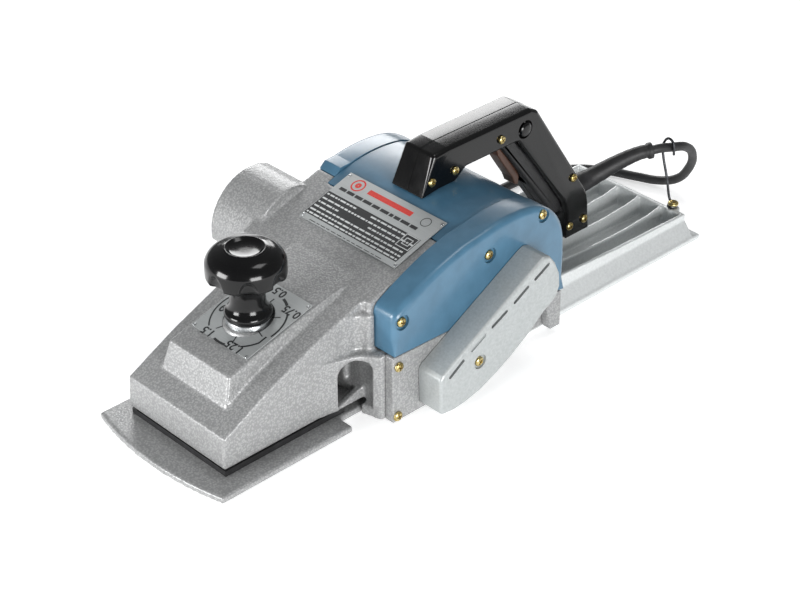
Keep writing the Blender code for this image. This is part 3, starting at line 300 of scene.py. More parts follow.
lamps = {  # name: place, aim, width, height, power; the one behind is mirrored in the top of the handle
    "behind": ((-1.20, -1.41, 0.79), (-1.20, -0.66, 0.13), 1.30, 0.70, 20),
    "front": ((1.70, -0.45, 0.42), (0.15, 0, 0.05), 0.80, 0.60, 27),
    "near": ((0.55, 1.55, 0.36), (0, 0, 0.05), 0.80, 0.60, 24),
    "top": ((-0.30, 0.35, 1.60), (0, 0, 0.05), 0.60, 0.50, 4),
}


def addLights():
    for name, (spot, aim, width, height, power) in lamps.items():
        data = bpy.data.lights.new(name, "AREA")
        data.shape = "RECTANGLE"
        data.size, data.size_y = width, height
        data.energy = power
        obj = bpy.data.objects.new(name, data)
        scene.collection.objects.link(obj)
        obj.location = spot
        obj.rotation_euler = (Vector(aim) - Vector(spot)).to_track_quat("-Z", "Y").to_euler()
    world = bpy.data.worlds.new("studio")
    world.use_nodes = True
    world.node_tree.nodes["Background"].inputs["Color"].default_value = linear("#f4f6f8")
    world.node_tree.nodes["Background"].inputs["Strength"].default_value = 0.26
    scene.world = world
    scene.view_settings.view_transform = "Standard"


def addFloor():
    bpy.ops.mesh.primitive_plane_add(size=14, location=(0, 0, -0.0006))
    floor = bpy.context.object
    floor.name = "floor"
    paper = bpy.data.materials.new("white_paper")
    paper.use_nodes = True
    shader = paper.node_tree.nodes["Principled BSDF"]
    shader.inputs["Base Color"].default_value = linear("#fbfbfb")
    shader.inputs["Roughness"].default_value = 0.9
    shader.inputs["Emission Color"].default_value = linear("#ffffff")
    shader.inputs["Emission Strength"].default_value = 0.45  # keeps the paper white under soft, low lamps
    floor.data.materials.append(paper)


# materials, each named for what the real one is

def newMaterial(name, colour, roughness, metallic=0.0, **sockets):
    made = bpy.data.materials.new(name)
    made.use_nodes = True
    tree = made.node_tree
    shader = tree.nodes["Principled BSDF"]
    shader.inputs["Base Color"].default_value = linear(colour)
    shader.inputs["Roughness"].default_value = roughness
    shader.inputs["Metallic"].default_value = metallic
    for key, value in sockets.items():
        shader.inputs[key.replace("_", " ")].default_value = value
    coords = addNode(tree, "ShaderNodeTexCoord").outputs["Object"]
    return made, tree, shader, coords


def toned(ramp, first, last, low=0.0, high=1.0):
    for stop, colour, spot in zip(ramp.color_ramp.elements, (first, last), (low, high)):
        stop.position = spot
        stop.color = linear(colour)


def mottled(tree, shader, coords, scale, dark, light, low=0.35, high=0.65):  # scale in patches per metre
    noise = addNode(tree, "ShaderNodeTexNoise", None, {"Vector": coords, "Scale": scale, "Detail": 4})
    ramp = addNode(tree, "ShaderNodeValToRGB", None, {"Fac": noise.outputs["Fac"]})
    toned(ramp, dark, light, low, high)
    tree.links.new(ramp.outputs["Color"], shader.inputs["Base Color"])


def bumped(tree, shader, height, depth, strength):
    bump = addNode(tree, "ShaderNodeBump", None, {"Height": height, "Distance": depth, "Strength": strength})
    tree.links.new(bump.outputs["Normal"], shader.inputs["Normal"])


def grained(tree, shader, coords, scale, depth, strength, detail=2.0):  # fine random relief, depth in metres
    noise = addNode(tree, "ShaderNodeTexNoise", None, {"Vector": coords, "Scale": scale, "Detail": detail})
    bumped(tree, shader, noise.outputs["Fac"], depth, strength)


def uneven(tree, shader, coords, scale, low, high):
    noise = addNode(tree, "ShaderNodeTexNoise", None, {"Vector": coords, "Scale": scale, "Detail": 3.0})
    spread = addNode(tree, "ShaderNodeMapRange", None,
                     {"Value": noise.outputs["Fac"], "To Min": low, "To Max": high})
    tree.links.new(spread.outputs["Result"], shader.inputs["Roughness"])


def hammeredEnamel():  # hammer-finish stoving enamel: round pools about 1.7 mm across with darker rims
    made, tree, shader, coords = newMaterial("hammered_enamel", "#979d9e", 0.36, 0.30)
    cells = addNode(tree, "ShaderNodeTexVoronoi", {"feature": "SMOOTH_F1"},
                    {"Vector": coords, "Scale": 600.0, "Smoothness": 0.45, "Randomness": 0.9})
    ramp = addNode(tree, "ShaderNodeValToRGB", None, {"Fac": cells.outputs["Distance"]})
    toned(ramp, "#a3a8a8", "#868c8e", 0.18, 0.62)
    patches = addNode(tree, "ShaderNodeTexNoise", None, {"Vector": coords, "Scale": 420.0, "Detail": 2.0})
    tone = addNode(tree, "ShaderNodeMix", {"data_type": "RGBA", "blend_type": "OVERLAY"},
                   {0: 0.12, 6: ramp.outputs["Color"], 7: patches.outputs["Color"]})
    grey = addNode(tree, "ShaderNodeHueSaturation", None, {"Saturation": 0.12, "Color": tone.outputs[2]})
    tree.links.new(grey.outputs["Color"], shader.inputs["Base Color"])
    uneven(tree, shader, coords, 300.0, 0.28, 0.46)
    inverse = addNode(tree, "ShaderNodeMath", {"operation": "SUBTRACT"},
                      {0: 1.0, 1: cells.outputs["Distance"]})
    bumped(tree, shader, inverse.outputs[0], 0.00026, 0.50)
    return made


def silverCasting(name, dark, light):  # die-cast aluminium, silver lacquer: an even grain of about 0.6 mm
    made, tree, shader, coords = newMaterial(name, light, 0.40, 0.30)
    mottled(tree, shader, coords, 520.0, dark, light, 0.3, 0.7)
    uneven(tree, shader, coords, 160.0, 0.32, 0.48)
    grained(tree, shader, coords, 1500.0, 0.00010, 0.35, 3.0)
    return made


def bluePaint():  # sprayed semi-gloss enamel: soft orange peel, ripples about 3 mm
    made, tree, shader, coords = newMaterial("blue_paint", "#41687f", 0.30, 0.0, Coat_Weight=0.35,
                                             Coat_Roughness=0.18)
    mottled(tree, shader, coords, 60.0, "#3d637b", "#456d86")
    uneven(tree, shader, coords, 90.0, 0.26, 0.38)
    grained(tree, shader, coords, 330.0, 0.00020, 0.10)
    return made


def bakelite():  # black phenolic straight from a polished mould: deep gloss with faint flow marks
    made, tree, shader, coords = newMaterial("black_bakelite", "#060607", 0.13, 0.0, Specular_IOR_Level=0.32,
                                             Coat_Weight=0.15, Coat_Roughness=0.06)
    mottled(tree, shader, coords, 45.0, "#040405", "#090909")
    uneven(tree, shader, coords, 120.0, 0.10, 0.20)
    grained(tree, shader, coords, 120.0, 0.00020, 0.05)
    return made


def grainedBakelite():  # the same moulding with a leather grain of about 1.5 mm, which breaks up the gloss
    made, tree, shader, coords = newMaterial("grained_bakelite", "#121213", 0.42)
    mottled(tree, shader, coords, 200.0, "#0d0d0e", "#18181a")
    hide = addNode(tree, "ShaderNodeTexVoronoi", {"feature": "DISTANCE_TO_EDGE"},
                   {"Vector": coords, "Scale": 700.0})
    bumped(tree, shader, hide.outputs["Distance"], 0.0005, 0.6)
    return made


def brownPlastic():  # moulded polyamide, satin, slightly cloudy
    made, tree, shader, coords = newMaterial("brown_plastic", "#4a2f22", 0.38)
    mottled(tree, shader, coords, 180.0, "#402719", "#523527")
    grained(tree, shader, coords, 1800.0, 0.00006, 0.3)
    return made


def groundSteel(name, dark, light, low, high):  # machined steel: tool marks about 0.5 mm apart
    made, tree, shader, coords = newMaterial(name, light, low, 1.0)
    mottled(tree, shader, coords, 260.0, dark, light)
    uneven(tree, shader, coords, 400.0, low, high)
    streaks = addNode(tree, "ShaderNodeTexWave", {"wave_type": "BANDS", "bands_direction": "Z"},
                      {"Vector": coords, "Scale": 640.0, "Distortion": 1.5})
    bumped(tree, shader, streaks.outputs["Color"], 0.00003, 0.25)
    return made


def yellowZinc():  # passivated zinc plating: brass colour with faint green and pink bloom
    made, tree, shader, coords = newMaterial("yellow_zinc", "#c0ac70", 0.28, 1.0)
    mottled(tree, shader, coords, 420.0, "#a08a4c", "#d6c690")
    uneven(tree, shader, coords, 500.0, 0.20, 0.38)
    grained(tree, shader, coords, 2200.0, 0.00005, 0.4)
    return made


def labelAluminium():  # brushed and anodised sheet: streaks about 0.4 mm apart across the planer
    made, tree, shader, coords = newMaterial("label_aluminium", "#bfc2c2", 0.38, 0.6)
    fine = addNode(tree, "ShaderNodeMapping", None, {"Vector": coords, "Scale": (2600.0, 40.0, 2600.0)})
    noise = addNode(tree, "ShaderNodeTexNoise", None,
                    {"Vector": fine.outputs[0], "Scale": 1.0, "Detail": 2.0})
    ramp = addNode(tree, "ShaderNodeValToRGB", None, {"Fac": noise.outputs["Fac"]})
    toned(ramp, "#aeb2b2", "#c9cccc")
    tree.links.new(ramp.outputs["Color"], shader.inputs["Base Color"])
    bumped(tree, shader, noise.outputs["Fac"], 0.00003, 0.3)
    return made


def ink(name, dark, light):  # screen-printed enamel ink, a little uneven in cover
    made, tree, shader, coords = newMaterial(name, dark, 0.4)
    mottled(tree, shader, coords, 900.0, dark, light)
    grained(tree, shader, coords, 1500.0, 0.00004, 0.3)
    return made


def copperWire():  # lacquered copper: warm, slightly dulled
    made, tree, shader, coords = newMaterial("copper", "#b8733f", 0.32, 1.0)
    mottled(tree, shader, coords, 350.0, "#9a5a2e", "#c9854f")
    uneven(tree, shader, coords, 500.0, 0.25, 0.42)
    return made


def blackRubber():  # extruded and moulded rubber: matt with a faint bloom
    made, tree, shader, coords = newMaterial("black_rubber", "#161617", 0.50)
    mottled(tree, shader, coords, 160.0, "#111112", "#1e1e20")
    uneven(tree, shader, coords, 240.0, 0.42, 0.62)
    grained(tree, shader, coords, 1300.0, 0.00008, 0.4, 3.0)
    return made


finishes = {
    "hammered_enamel": hammeredEnamel(),
    "silver_casting": silverCasting("silver_casting", "#9fa3a3", "#aeb2b2"),
    "light_casting": silverCasting("light_casting", "#cbcece", "#d8dbdb"), "blue_paint": bluePaint(),
    "black_bakelite": bakelite(), "grained_bakelite": grainedBakelite(), "brown_plastic": brownPlastic(),
    "bright_steel": groundSteel("bright_steel", "#9ea1a3", "#c8cacb", 0.22, 0.36),
    "laminated_steel": groundSteel("laminated_steel", "#3c3d40", "#5a5b5e", 0.40, 0.55),
    "yellow_zinc": yellowZinc(), "label_aluminium": labelAluminium(), "copper": copperWire(),
    "black_rubber": blackRubber(), "black_ink": ink("black_ink", "#1a1b1c", "#26282a"),
    "red_ink": ink("red_ink", "#c02a22", "#cf382c"), "grey_ink": ink("grey_ink", "#8b8f90", "#999d9e"),
    "pale_ink": ink("pale_ink", "#c3c6c6", "#d2d5d5"),
}
slots = {"grained_bakelite": "black_bakelite", "light_casting": "silver_casting",
         **dict.fromkeys(("black_ink", "red_ink", "grey_ink", "pale_ink"), "label_aluminium")}


# mains lead

lead = {
    "diameter": 0.0078, "length": 2.5,
    "guard": [(-0.1728, 0.0000, 0.0540), (-0.1850, 0.0000, 0.0540), (-0.2000, 0.0030, 0.0566),
              (-0.2190, 0.0140, 0.0672), (-0.2330, 0.0235, 0.0743), (-0.2440, 0.0295, 0.0757)],
    "guardRadius": 0.0094, "guardWidths": [1.0, 0.98, 0.84, 0.72, 0.64, 0.60],
    "route": [(-0.2590, 0.0358, 0.0752), (-0.2840, 0.0345, 0.0655), (-0.3010, 0.0285, 0.0480),
              (-0.3090, 0.0190, 0.0290), (-0.3110, 0.0060, 0.0130), (-0.3075, -0.0110, 0.0056),
              (-0.3000, -0.0310, 0.0043), (-0.2890, -0.0560, 0.0041), (-0.2700, -0.0790, 0.0041),
              (-0.2420, -0.0930, 0.0041), (-0.2080, -0.0975, 0.0041), (-0.1740, -0.0962, 0.0041)],
    "coil": (-0.1000, -0.1450), "turnRadius": 0.0464, "floor": 0.0041,
    "plug": (0.0200, -0.1025), "plugAxis": 0.0124,
}


def widthAt(share):
    widths = lead["guardWidths"]
    spot = share * (len(widths) - 1)
    k = min(int(spot), len(widths) - 2)
    return widths[k] + (widths[k + 1] - widths[k]) * (spot - k)


# Seven turns, two to a layer: one in the outer ring and one in the inner. A short jog takes the lead across,
# and up at the end of each layer.
def coilPoints():
    d = lead["diameter"]
    x, y = lead["coil"]
    rings = {"outer": lead["turnRadius"] + d / 2, "inner": lead["turnRadius"] - d / 2}
    laid = ["outer", "inner", "inner", "outer", "outer", "inner", "inner", "inner"]
    came = ["outer", "outer", "inner", "inner", "outer", "outer", "inner", "inner"]
    jog = 40
    points = []
    for degree in range(0, 7 * 360 + 1, 20):
        turn, part = divmod(degree, 360)
        share = min(1, part / jog) if turn else 1
        r = rings[came[turn]] + (rings[laid[turn]] - rings[came[turn]]) * share
        level = turn // 2
        if turn in (1, 3, 5) and part > 360 - jog:
            level += (part - 360 + jog) / jog
        angle = math.radians(90 - degree)
        points.append((x + r * math.cos(angle), y + r * math.sin(angle), lead["floor"] + level * d))
    return points


def mainsLead():
    route = [Vector(p) for p in smoothPath(lead["guard"], 8)]
    widths = [widthAt(i / (len(route) - 1)) for i in range(len(route))]
    ringed = []
    for i, width in enumerate(widths):  # shallow grooves along the taper, and a collar at its tip
        share = i / (len(widths) - 1)
        groove = 0.2 < share < 0.92 and i % 3 == 0
        ringed.append(width * (0.98 if groove else 1.22 if share > 0.94 else 1.0))
    guard = finished("lead_guard", tubeMesh(route, lead["guardRadius"], ringed, 7), "black_rubber",
                     replaced=["cord_guard"])
    fine = smoothPath(lead["guard"], 20)
    way = (fine[-1] - fine[-3]).normalized()
    end = Vector(lead["guard"][-1])
    x, y = lead["coil"]
    d = lead["diameter"]
    outer = lead["turnRadius"] + d / 2
    inner = lead["turnRadius"] - d / 2
    start = end + way * 0.0003
    points = [start, end + way * 0.0080, *lead["route"], (x - 0.0400, y + outer, lead["floor"]),
              (x - 0.0150, y + outer, lead["floor"])]
    points += coilPoints()
    top = lead["floor"] + 3 * d
    axis = lead["plugAxis"]
    relief = lead["plug"][0] - 0.0263
    level = y + inner
    points += [(x + 0.0150, level, top), (x + 0.0330, level, top), (relief - 0.0440, level, top - 0.0008),
               (relief - 0.0320, level, top - 0.0045), (relief - 0.0200, level, axis + 0.0032),
               (relief - 0.0080, level, axis + 0.0001), (relief, level, axis)]
    curve = bpy.data.curves.new("mains_lead", "CURVE")
    curve.dimensions = "3D"
    curve.bevel_depth = d / 2
    curve.bevel_resolution = 5
    curve.resolution_u = 6
    curve.use_fill_caps = True
    spline = curve.splines.new("BEZIER")
    spline.bezier_points.add(len(points) - 1)
    for knot, spot in zip(spline.bezier_points, points):
        knot.co = spot
        knot.handle_left_type = knot.handle_right_type = "AUTO"
    cord = bpy.data.objects.new("mains_lead", curve)
    scene.collection.objects.link(cord)
    curve.materials.append(finishes["black_rubber"])
    plug = mainsPlug(relief, level, axis)
    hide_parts("cord", "cord_coil", "cord_tail")
    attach(cord, root)
    print("lead done")


def mainsPlug(relief, y, axis):
    x = lead["plug"][0]
    z = axis - 0.0122
    body = [(-0.0125, z), (0.0125, z), (0.0180, z + 0.0060), (0.0180, z + 0.0185), (0.0125, z + 0.0245),
            (-0.0125, z + 0.0245), (-0.0180, z + 0.0185), (-0.0180, z + 0.0060)]
    outline = rounded([(y + a, b) for a, b in body], 0.0040)
    block = rimmed(outline, x + 0.0398, x, 0.0035, "X", 6, 0.0008)
    cone = [(0.0001, relief - x), (0.0044, relief - x), (0.0050, relief - x + 0.0006)]
    cone += [(0.0050 + 0.0046 * k / 14 - (0.0005 if k % 2 else 0), relief - x + 0.0008 + 0.0240 * k / 14)
             for k in range(15)]
    cone += [(0.0096, 0.0030), (0.0001, 0.0030)]
    sleeve = turnedMesh([(r, h + x) for r, h in cone], (y, axis), "X", 40)
    plug = finished("plug_body", carved(block, [tidied(sleeve)], "UNION"), "black_rubber", replaced=["plug"])
    pins = []
    for side in (-0.0095, 0.0095):
        pins.append(turnedMesh([(0.0024, x + 0.0385), (0.0024, x + 0.0578), (0.0019, x + 0.0587),
                                (0.0010, x + 0.0590)], (y + side, axis), "X", 24))
    contacts = finished("plug_pins", tidied(joined(pins)), "bright_steel")
    return [plug, contacts]


# castings

def castings():
    arch = circle((0.1190, 0.0400), 0.0128, 0, 180, 12) + [(0.1062, 0.0225), (0.1318, 0.0140)]
    openings = [rimmed(arch, 0.0400, 0.0690, 0.0002),  # the arch by the column runs into the hollow nose
                rodMesh(0.0011, (0.1140, 0.0400, 0.0075), (0.1140, 0.0700, 0.0075), 16)]
    for name, node, slot, body, cutters, grid in (
            ("front_casting", "main_frame", "hammered_enamel", root, openings, (0.00115, 7, 0.56)),
            ("shoe_casting", "front_shoe", "hammered_enamel", "front_shoe", (), (0.0011, 7, 0.55)),
            ("rear_casting", "rear_base", "light_casting", root, (), (0.00095, 3, 0.38))):
        finished(name, worn(node, *grid, cutters), slot, body, [node])
    print("castings done")


# blue shell and covers

shell = {
    "dome": [(0.0160, 0.1220), (0.0040, 0.1246), (-0.0100, 0.1262), (-0.0270, 0.1262), (-0.0440, 0.1238),
             (-0.0570, 0.1183), (-0.0670, 0.1106), (-0.0745, 0.0998), (-0.0784, 0.0860), (-0.0795, 0.0700)],
    "edge": [(0.1010, 0.0588), (0.0480, 0.0569), (-0.0400, 0.0453), (-0.0790, 0.0383)],
    "seam": 0.0620, "nearFace": 0.0850, "farFace": -0.0833, "rim": 0.0058, "wall": 0.0025,
    "pockets": [(-0.0529, 0.1150), (0.0043, 0.1040), (0.0930, 0.0853)], "motor": (-0.018, 0.068),
}


def edgeHeight(x):
    knots = shell["edge"]
    for (x0, z0), (x1, z1) in zip(knots, knots[1:]):
        if x >= x1:
            return z0 + (z1 - z0) * (x - x0) / (x1 - x0)
    return knots[-1][1]


def coverRim(x, z):  # full along the top, thin along the lower edge
    rise = min(1, max(0, (z - edgeHeight(x) - 0.001) / 0.010))
    return 0.0007 + (shell["rim"] - 0.0007) * rise * rise * (3 - 2 * rise)


def coverMesh(outline, low, high, cutters):
    block = rimmed(outline, low, high, coverRim, "Y", 8)
    sign = 1 if high > low else -1
    centre = Vector((0.0, 0.085))
    hollow = []
    for p in outline:
        hollow.append(Vector(p) + (centre - Vector(p)).normalized() * shell["wall"] * 1.6)
    inside = rimmed(hollow, low - sign * 0.002, high - sign * shell["wall"] * 1.7, 0.003)
    return carved(block, [inside, *cutters])


def motorRod(radius, start, end, sides):  # on the motor's axis, between two depths
    x, z = shell["motor"]
    return rodMesh(radius, (x, start, z), (x, end, z), sides)


def blueShell():
    dome = [tuple(p) for p in smoothPath(shell["dome"], 6)]
    raised = [(x, z + 0.0008) for x, z in dome]
    top = smoothPath([(0.1010, 0.0860), (0.0990, 0.0925), (0.0920, 0.0975), (0.0720, 0.1073),
                      (0.0510, 0.1158), (0.0280, 0.1222)], 4)
    near = [(0.1010, 0.0588), (0.1010, 0.0720), *[tuple(p) for p in top], *raised[4:],
            (-0.0790, 0.0500), (-0.0790, 0.0383), (-0.0400, 0.0453), (0.0480, 0.0569)]
    cutters = []
    face = shell["nearFace"]
    for x, z in shell["pockets"]:
        cutters.append(rodMesh(0.0062, (x, face - 0.0022, z), (x, face + 0.004, z), 40))
    cutters.append(motorRod(0.0090, 0.055, 0.095, 40))
    finished("blue_belt_cover", coverMesh(near, shell["seam"], face, cutters), "blue_paint",
             replaced=["belt_side_cover"])
    far = [(0.0246, 0.0590), (0.0246, 0.1190), (0.0190, 0.1240), *raised[4:], (-0.0790, 0.0500),
           (-0.0790, 0.0383), (-0.0400, 0.0453), (-0.0100, 0.0590)]
    finished("blue_chute_cover", coverMesh(rounded(far, 0.0015, 3), -shell["seam"], shell["farFace"], []),
             "blue_paint", replaced=["chute_side_cover"])
    front = 0.0327
    path = [(front, 0.1170), *dome, (-0.0790, 0.0500), (-0.0780, 0.0350)]
    inner = []
    for i, p in enumerate(path):
        a = Vector(path[max(0, i - 1)])
        b = Vector(path[min(len(path) - 1, i + 1)])
        along = (b - a).normalized()
        inner.append(tuple(Vector(p) + Vector((-along.y, along.x)) * 0.0030))
    half = shell["seam"] - 0.0003
    strip = rimmed(path + inner[::-1], -half, half, 0.0003)
    webs = []
    filled = [(front, 0.1160), *[(x, z - 0.0008) for x, z in dome], (-0.0785, 0.0500), (-0.0775, 0.0350),
              (0.0247, 0.0350), (0.0247, 0.0480), (front, 0.0520)]
    for low, high in ((0.0140, 0.0180), (-0.0180, -0.0140), (-0.0415, -0.0385), (half - 0.0057, half),
                      (-half, -half + 0.0057)):
        webs.append(rimmed(filled, low, high, 0.0002))
    for sign in (1, -1):
        webs.append(motorRod(0.017, sign * (half - 0.0085), sign * (half - 0.003), 48))
    body = carved(strip, webs, "UNION")
    holes = [motorRod(0.0363, -0.0200, 0.0200, 64), motorRod(0.0333, -0.0500, -0.0300, 64),
             motorRod(0.0133, 0.0400, 0.0640, 48), motorRod(0.0133, -0.0600, -0.0400, 48)]
    finished("blue_motor_shell", carved(body, holes), "blue_paint", replaced=["motor_housing"])
    print("blue shell done")


# belt side: flat plate and cast belt cover

beltCover = {
    "outline": [(0.0769, 0.0072), (0.0778, 0.0382), (0.0750, 0.0417), (0.0685, 0.0455), (0.0256, 0.0690),
                (-0.0240, 0.0960), (-0.0301, 0.0985), (-0.0360, 0.0965), (-0.0421, 0.0886), (-0.0474, 0.0771),
                (-0.0482, 0.0660), (-0.0455, 0.0590), (-0.0418, 0.0553), (-0.0306, 0.0487), (-0.0145, 0.0362),
                (0.0038, 0.0248), (0.0179, 0.0177), (0.0360, 0.0100), (0.0520, 0.0066), (0.0640, 0.0056)],
    "low": 0.0853, "high": 0.1088, "rim": 0.0026, "wall": 0.0026, "screw": (0.0372, 0.0368),
    "slots": [((0.0691, 0.0367), (0.0537, 0.0466)), ((0.0470, 0.0502), (0.0315, 0.0586)),
              ((0.0259, 0.0613), (0.0090, 0.0693)), ((0.0027, 0.0721), (-0.0132, 0.0809)),
              ((-0.0189, 0.0831), (-0.0349, 0.0913))],
}


def capsule(start, end, radius, low, high):  # a slot's cutter with round ends
    start, end = Vector(start), Vector(end)
    way = (end - start).normalized()
    heading = math.atan2(way.y, way.x)
    outline = []
    for centre, first in ((end - way * radius, -90), (start + way * radius, 90)):
        for k in range(9):
            angle = heading + math.radians(first + 22.5 * k)
            outline.append((centre.x + radius * math.cos(angle), centre.y + radius * math.sin(angle)))
    return rimmed(outline, low, high, 0.0001, "Y", 2, 0.0001)


def beltSide():
    top = [(0.1032, 0.0584), (0.0480, 0.0565), (-0.0400, 0.0449), (-0.0765, 0.0379)]
    low = [(-0.0765, 0.0065), (-0.0655, 0.0065), (-0.0600, 0.0300), (-0.0250, 0.0340), (-0.0100, 0.0100),
           (0.0000, 0.0012), (0.1032, 0.0012)]
    plate = rimmed(rounded(top + low, 0.0012, 4), 0.0770, 0.0850, 0.0009, "Y", 4)
    hole = rodMesh(0.0105, (0.056, 0.070, 0.028), (0.056, 0.090, 0.028), 48)
    finished("side_plate", carved(plate, [hole]), "hammered_enamel", replaced=["belt_side_plate"])
    outline = rounded(beltCover["outline"], 0.0040, 4)
    high, low = beltCover["high"], beltCover["low"]
    block = rimmed(outline, low, high, beltCover["rim"], "Y", 7)
    inner = []
    pts = beltCover["outline"]
    for i, p in enumerate(pts):
        along = (Vector(pts[(i + 1) % len(pts)]) - Vector(pts[i - 1])).normalized()
        normal = Vector((along.y, -along.x))
        if normal.dot(Vector((0.015, 0.053)) - Vector(p)) < 0:
            normal = -normal
        inner.append(tuple(Vector(p) + normal * beltCover["wall"]))
    cutters = [rimmed(rounded(inner, 0.003, 3), low - 0.002, high - beltCover["wall"], 0.0008)]
    for i, (start, end) in enumerate(beltCover["slots"]):
        cutters.append(capsule(start, end, 0.0015, high - (0.0012 if i == 1 else 0.006), high + 0.002))
    body = carved(block, cutters)
    x, z = beltCover["screw"]
    body = carved(body, [rodMesh(0.0036, (x, low, z), (x, high - 0.001, z), 32)], "UNION")
    body = carved(body, [rodMesh(0.0060, (x, high - 0.0020, z), (x, high + 0.002, z), 48)])
    finished("cast_belt_cover", body, "silver_casting", replaced=["belt_cover"])
    print("belt side done")


# handle

handle = {
    "half": 0.0165, "rim": 0.0036,
    "outline": [((0.0080, 0.1246), 0.0005), ((-0.0050, 0.1560), 0.0040), ((-0.0200, 0.1575), 0.0010),
                ((-0.1100, 0.1575), 0.0050), ((-0.1185, 0.1530), 0.0060), ((-0.1670, 0.0790), 0.0100),
                ((-0.1770, 0.0635), 0.0060), ((-0.1815, 0.0550), 0.0060), ((-0.1835, 0.0460), 0.0050),
                ((-0.1835, 0.0213), 0.0008), ((-0.1565, 0.0213), 0.0008), ((-0.1565, 0.0450), 0.0060),
                ((-0.1515, 0.0572), 0.0060), ((-0.0975, 0.1335), 0.0080), ((-0.0400, 0.1335), 0.0060),
                ((-0.0270, 0.1268), 0.0040), ((-0.0100, 0.1268), 0.0020), ((0.0000, 0.1256), 0.0010)],
    "grip": [(-0.0960, 0.1355), (-0.0820, 0.1355), (-0.0840, 0.1300), (-0.1350, 0.0600), (-0.1420, 0.0480),
             (-0.1500, 0.0450), (-0.1580, 0.0480), (-0.1580, 0.0600)],
    "swing": [(-0.0803, 0.1440), (-0.0803, 0.1305), (-0.1010, 0.0840), (-0.1210, 0.0840), (-0.1030, 0.1180),
              (-0.0990, 0.1440)],
    "switch": ((-0.1415, -0.0102, 0.0878), (-0.1208, 0.0102, 0.1102)), "button": (-0.1035, 0.1422),
}


def handleRim(x, z):
    foot = min(1, max(0.1, (z - 0.0213) / 0.008)) if x < -0.12 else 1
    front = min(1, max(0.12, (z - 0.1272) / 0.008)) if x > -0.034 else 1
    return handle["rim"] * min(foot, front)


def handleHalves():
    corners = [p for p, _ in handle["outline"]]
    outline = rounded(corners, [r for _, r in handle["outline"]], 6)
    bx, bz = handle["button"]
    for name, node, sign in (("left_half", "handle_left", 1), ("right_half", "handle_right", -1)):
        block = rimmed(outline, sign * 0.00015, sign * handle["half"], handleRim, "Y", 8, 0.0004)

        def switchRoom():  # where the trigger swings, and the switch behind it
            return [rimmed(handle["swing"], -sign * 0.001, sign * 0.0071, 0.0002), boxMesh(*handle["switch"])]
        cutters = [*switchRoom(),
                   rodMesh(0.0098, (-0.1720, 0, 0.0540), (-0.1900, 0, 0.0540), 40),
                   rodMesh(0.0042, (-0.1300, 0, 0.0930), (-0.1730, 0, 0.0550), 20),
                   rodMesh(0.0018, (-0.0880, -0.0123, 0.1360), (-0.0880, 0.0123, 0.1360), 20)]
        if sign > 0:
            cutters += [rodMesh(0.0078, (bx, 0.0128, bz), (bx, 0.0200, bz), 48),
                        rodMesh(0.0035, (bx, 0.0088, bz), (bx, 0.0200, bz), 32)]
        finished(name, carved(block, cutters), "black_bakelite", replaced=[node])
        web = rimmed(rounded(handle["grip"], 0.0030, 4), sign * 0.0004, sign * 0.0115, 0.0030, "Y", 6, 0.0003)
        finished(name + "_grip", carved(web, switchRoom()), "grained_bakelite")
    button = [(0.0001, 0.0186), (0.0036, 0.0186), (0.0052, 0.0180), (0.0059, 0.0172), (0.0060, 0.0162),
              (0.0030, 0.0161), (0.0030, 0.0125), (0.0001, 0.0125)]
    finished("lock_on_button", tidied(turnedMesh(button, (bx, bz), "Y", 48)), "black_bakelite", "lock_button",
             ["lock_button"])
    paddle = [(-0.0830, 0.1400), (-0.0815, 0.1310), (-0.0840, 0.1220), (-0.0925, 0.1090), (-0.1010, 0.0965),
              (-0.1045, 0.0885), (-0.1085, 0.0875), (-0.1090, 0.0950), (-0.1000, 0.1120), (-0.0935, 0.1250),
              (-0.0930, 0.1400)]
    lever = carved(rimmed(rounded(paddle, 0.0030, 5), -0.0065, 0.0065, 0.0012, "Y", 5, 0.0012),
                   [rodMesh(0.0019, (-0.088, -0.01, 0.136), (-0.088, 0.01, 0.136), 24)])
    finished("switch_trigger", lever, "brown_plastic", "trigger", ["trigger"])
    print("handle done")


# depth knob, ring and dial

knob = {"flutes": 7, "firstFlute": 53.0, "fluteDepth": 0.0034, "fluteHalf": 0.0074, "archTop": 0.0118,
        "archRise": 0.0085, "radius": 0.0297}


def knobShape(angle, radius, height, top):  # arched scallops in the lower flank; the crown above stays round
    drop = top - height
    spacing = 2 * math.pi / knob["flutes"]
    off = (angle - math.radians(knob["firstFlute"]) + spacing / 2) % spacing - spacing / 2
    across = abs(off) * knob["radius"] / knob["fluteHalf"]
    if across >= 1 or drop > 0.0300:
        return radius
    into = (drop - knob["archTop"] - knob["archRise"] * across ** 2) / 0.0035
    if into <= 0:
        return radius
    fade = min(1, max(0, (radius / knob["radius"] - 0.55) / 0.30))
    return radius - knob["fluteDepth"] * min(1, into) ** 0.7 * math.sqrt(1 - across ** 2) * fade


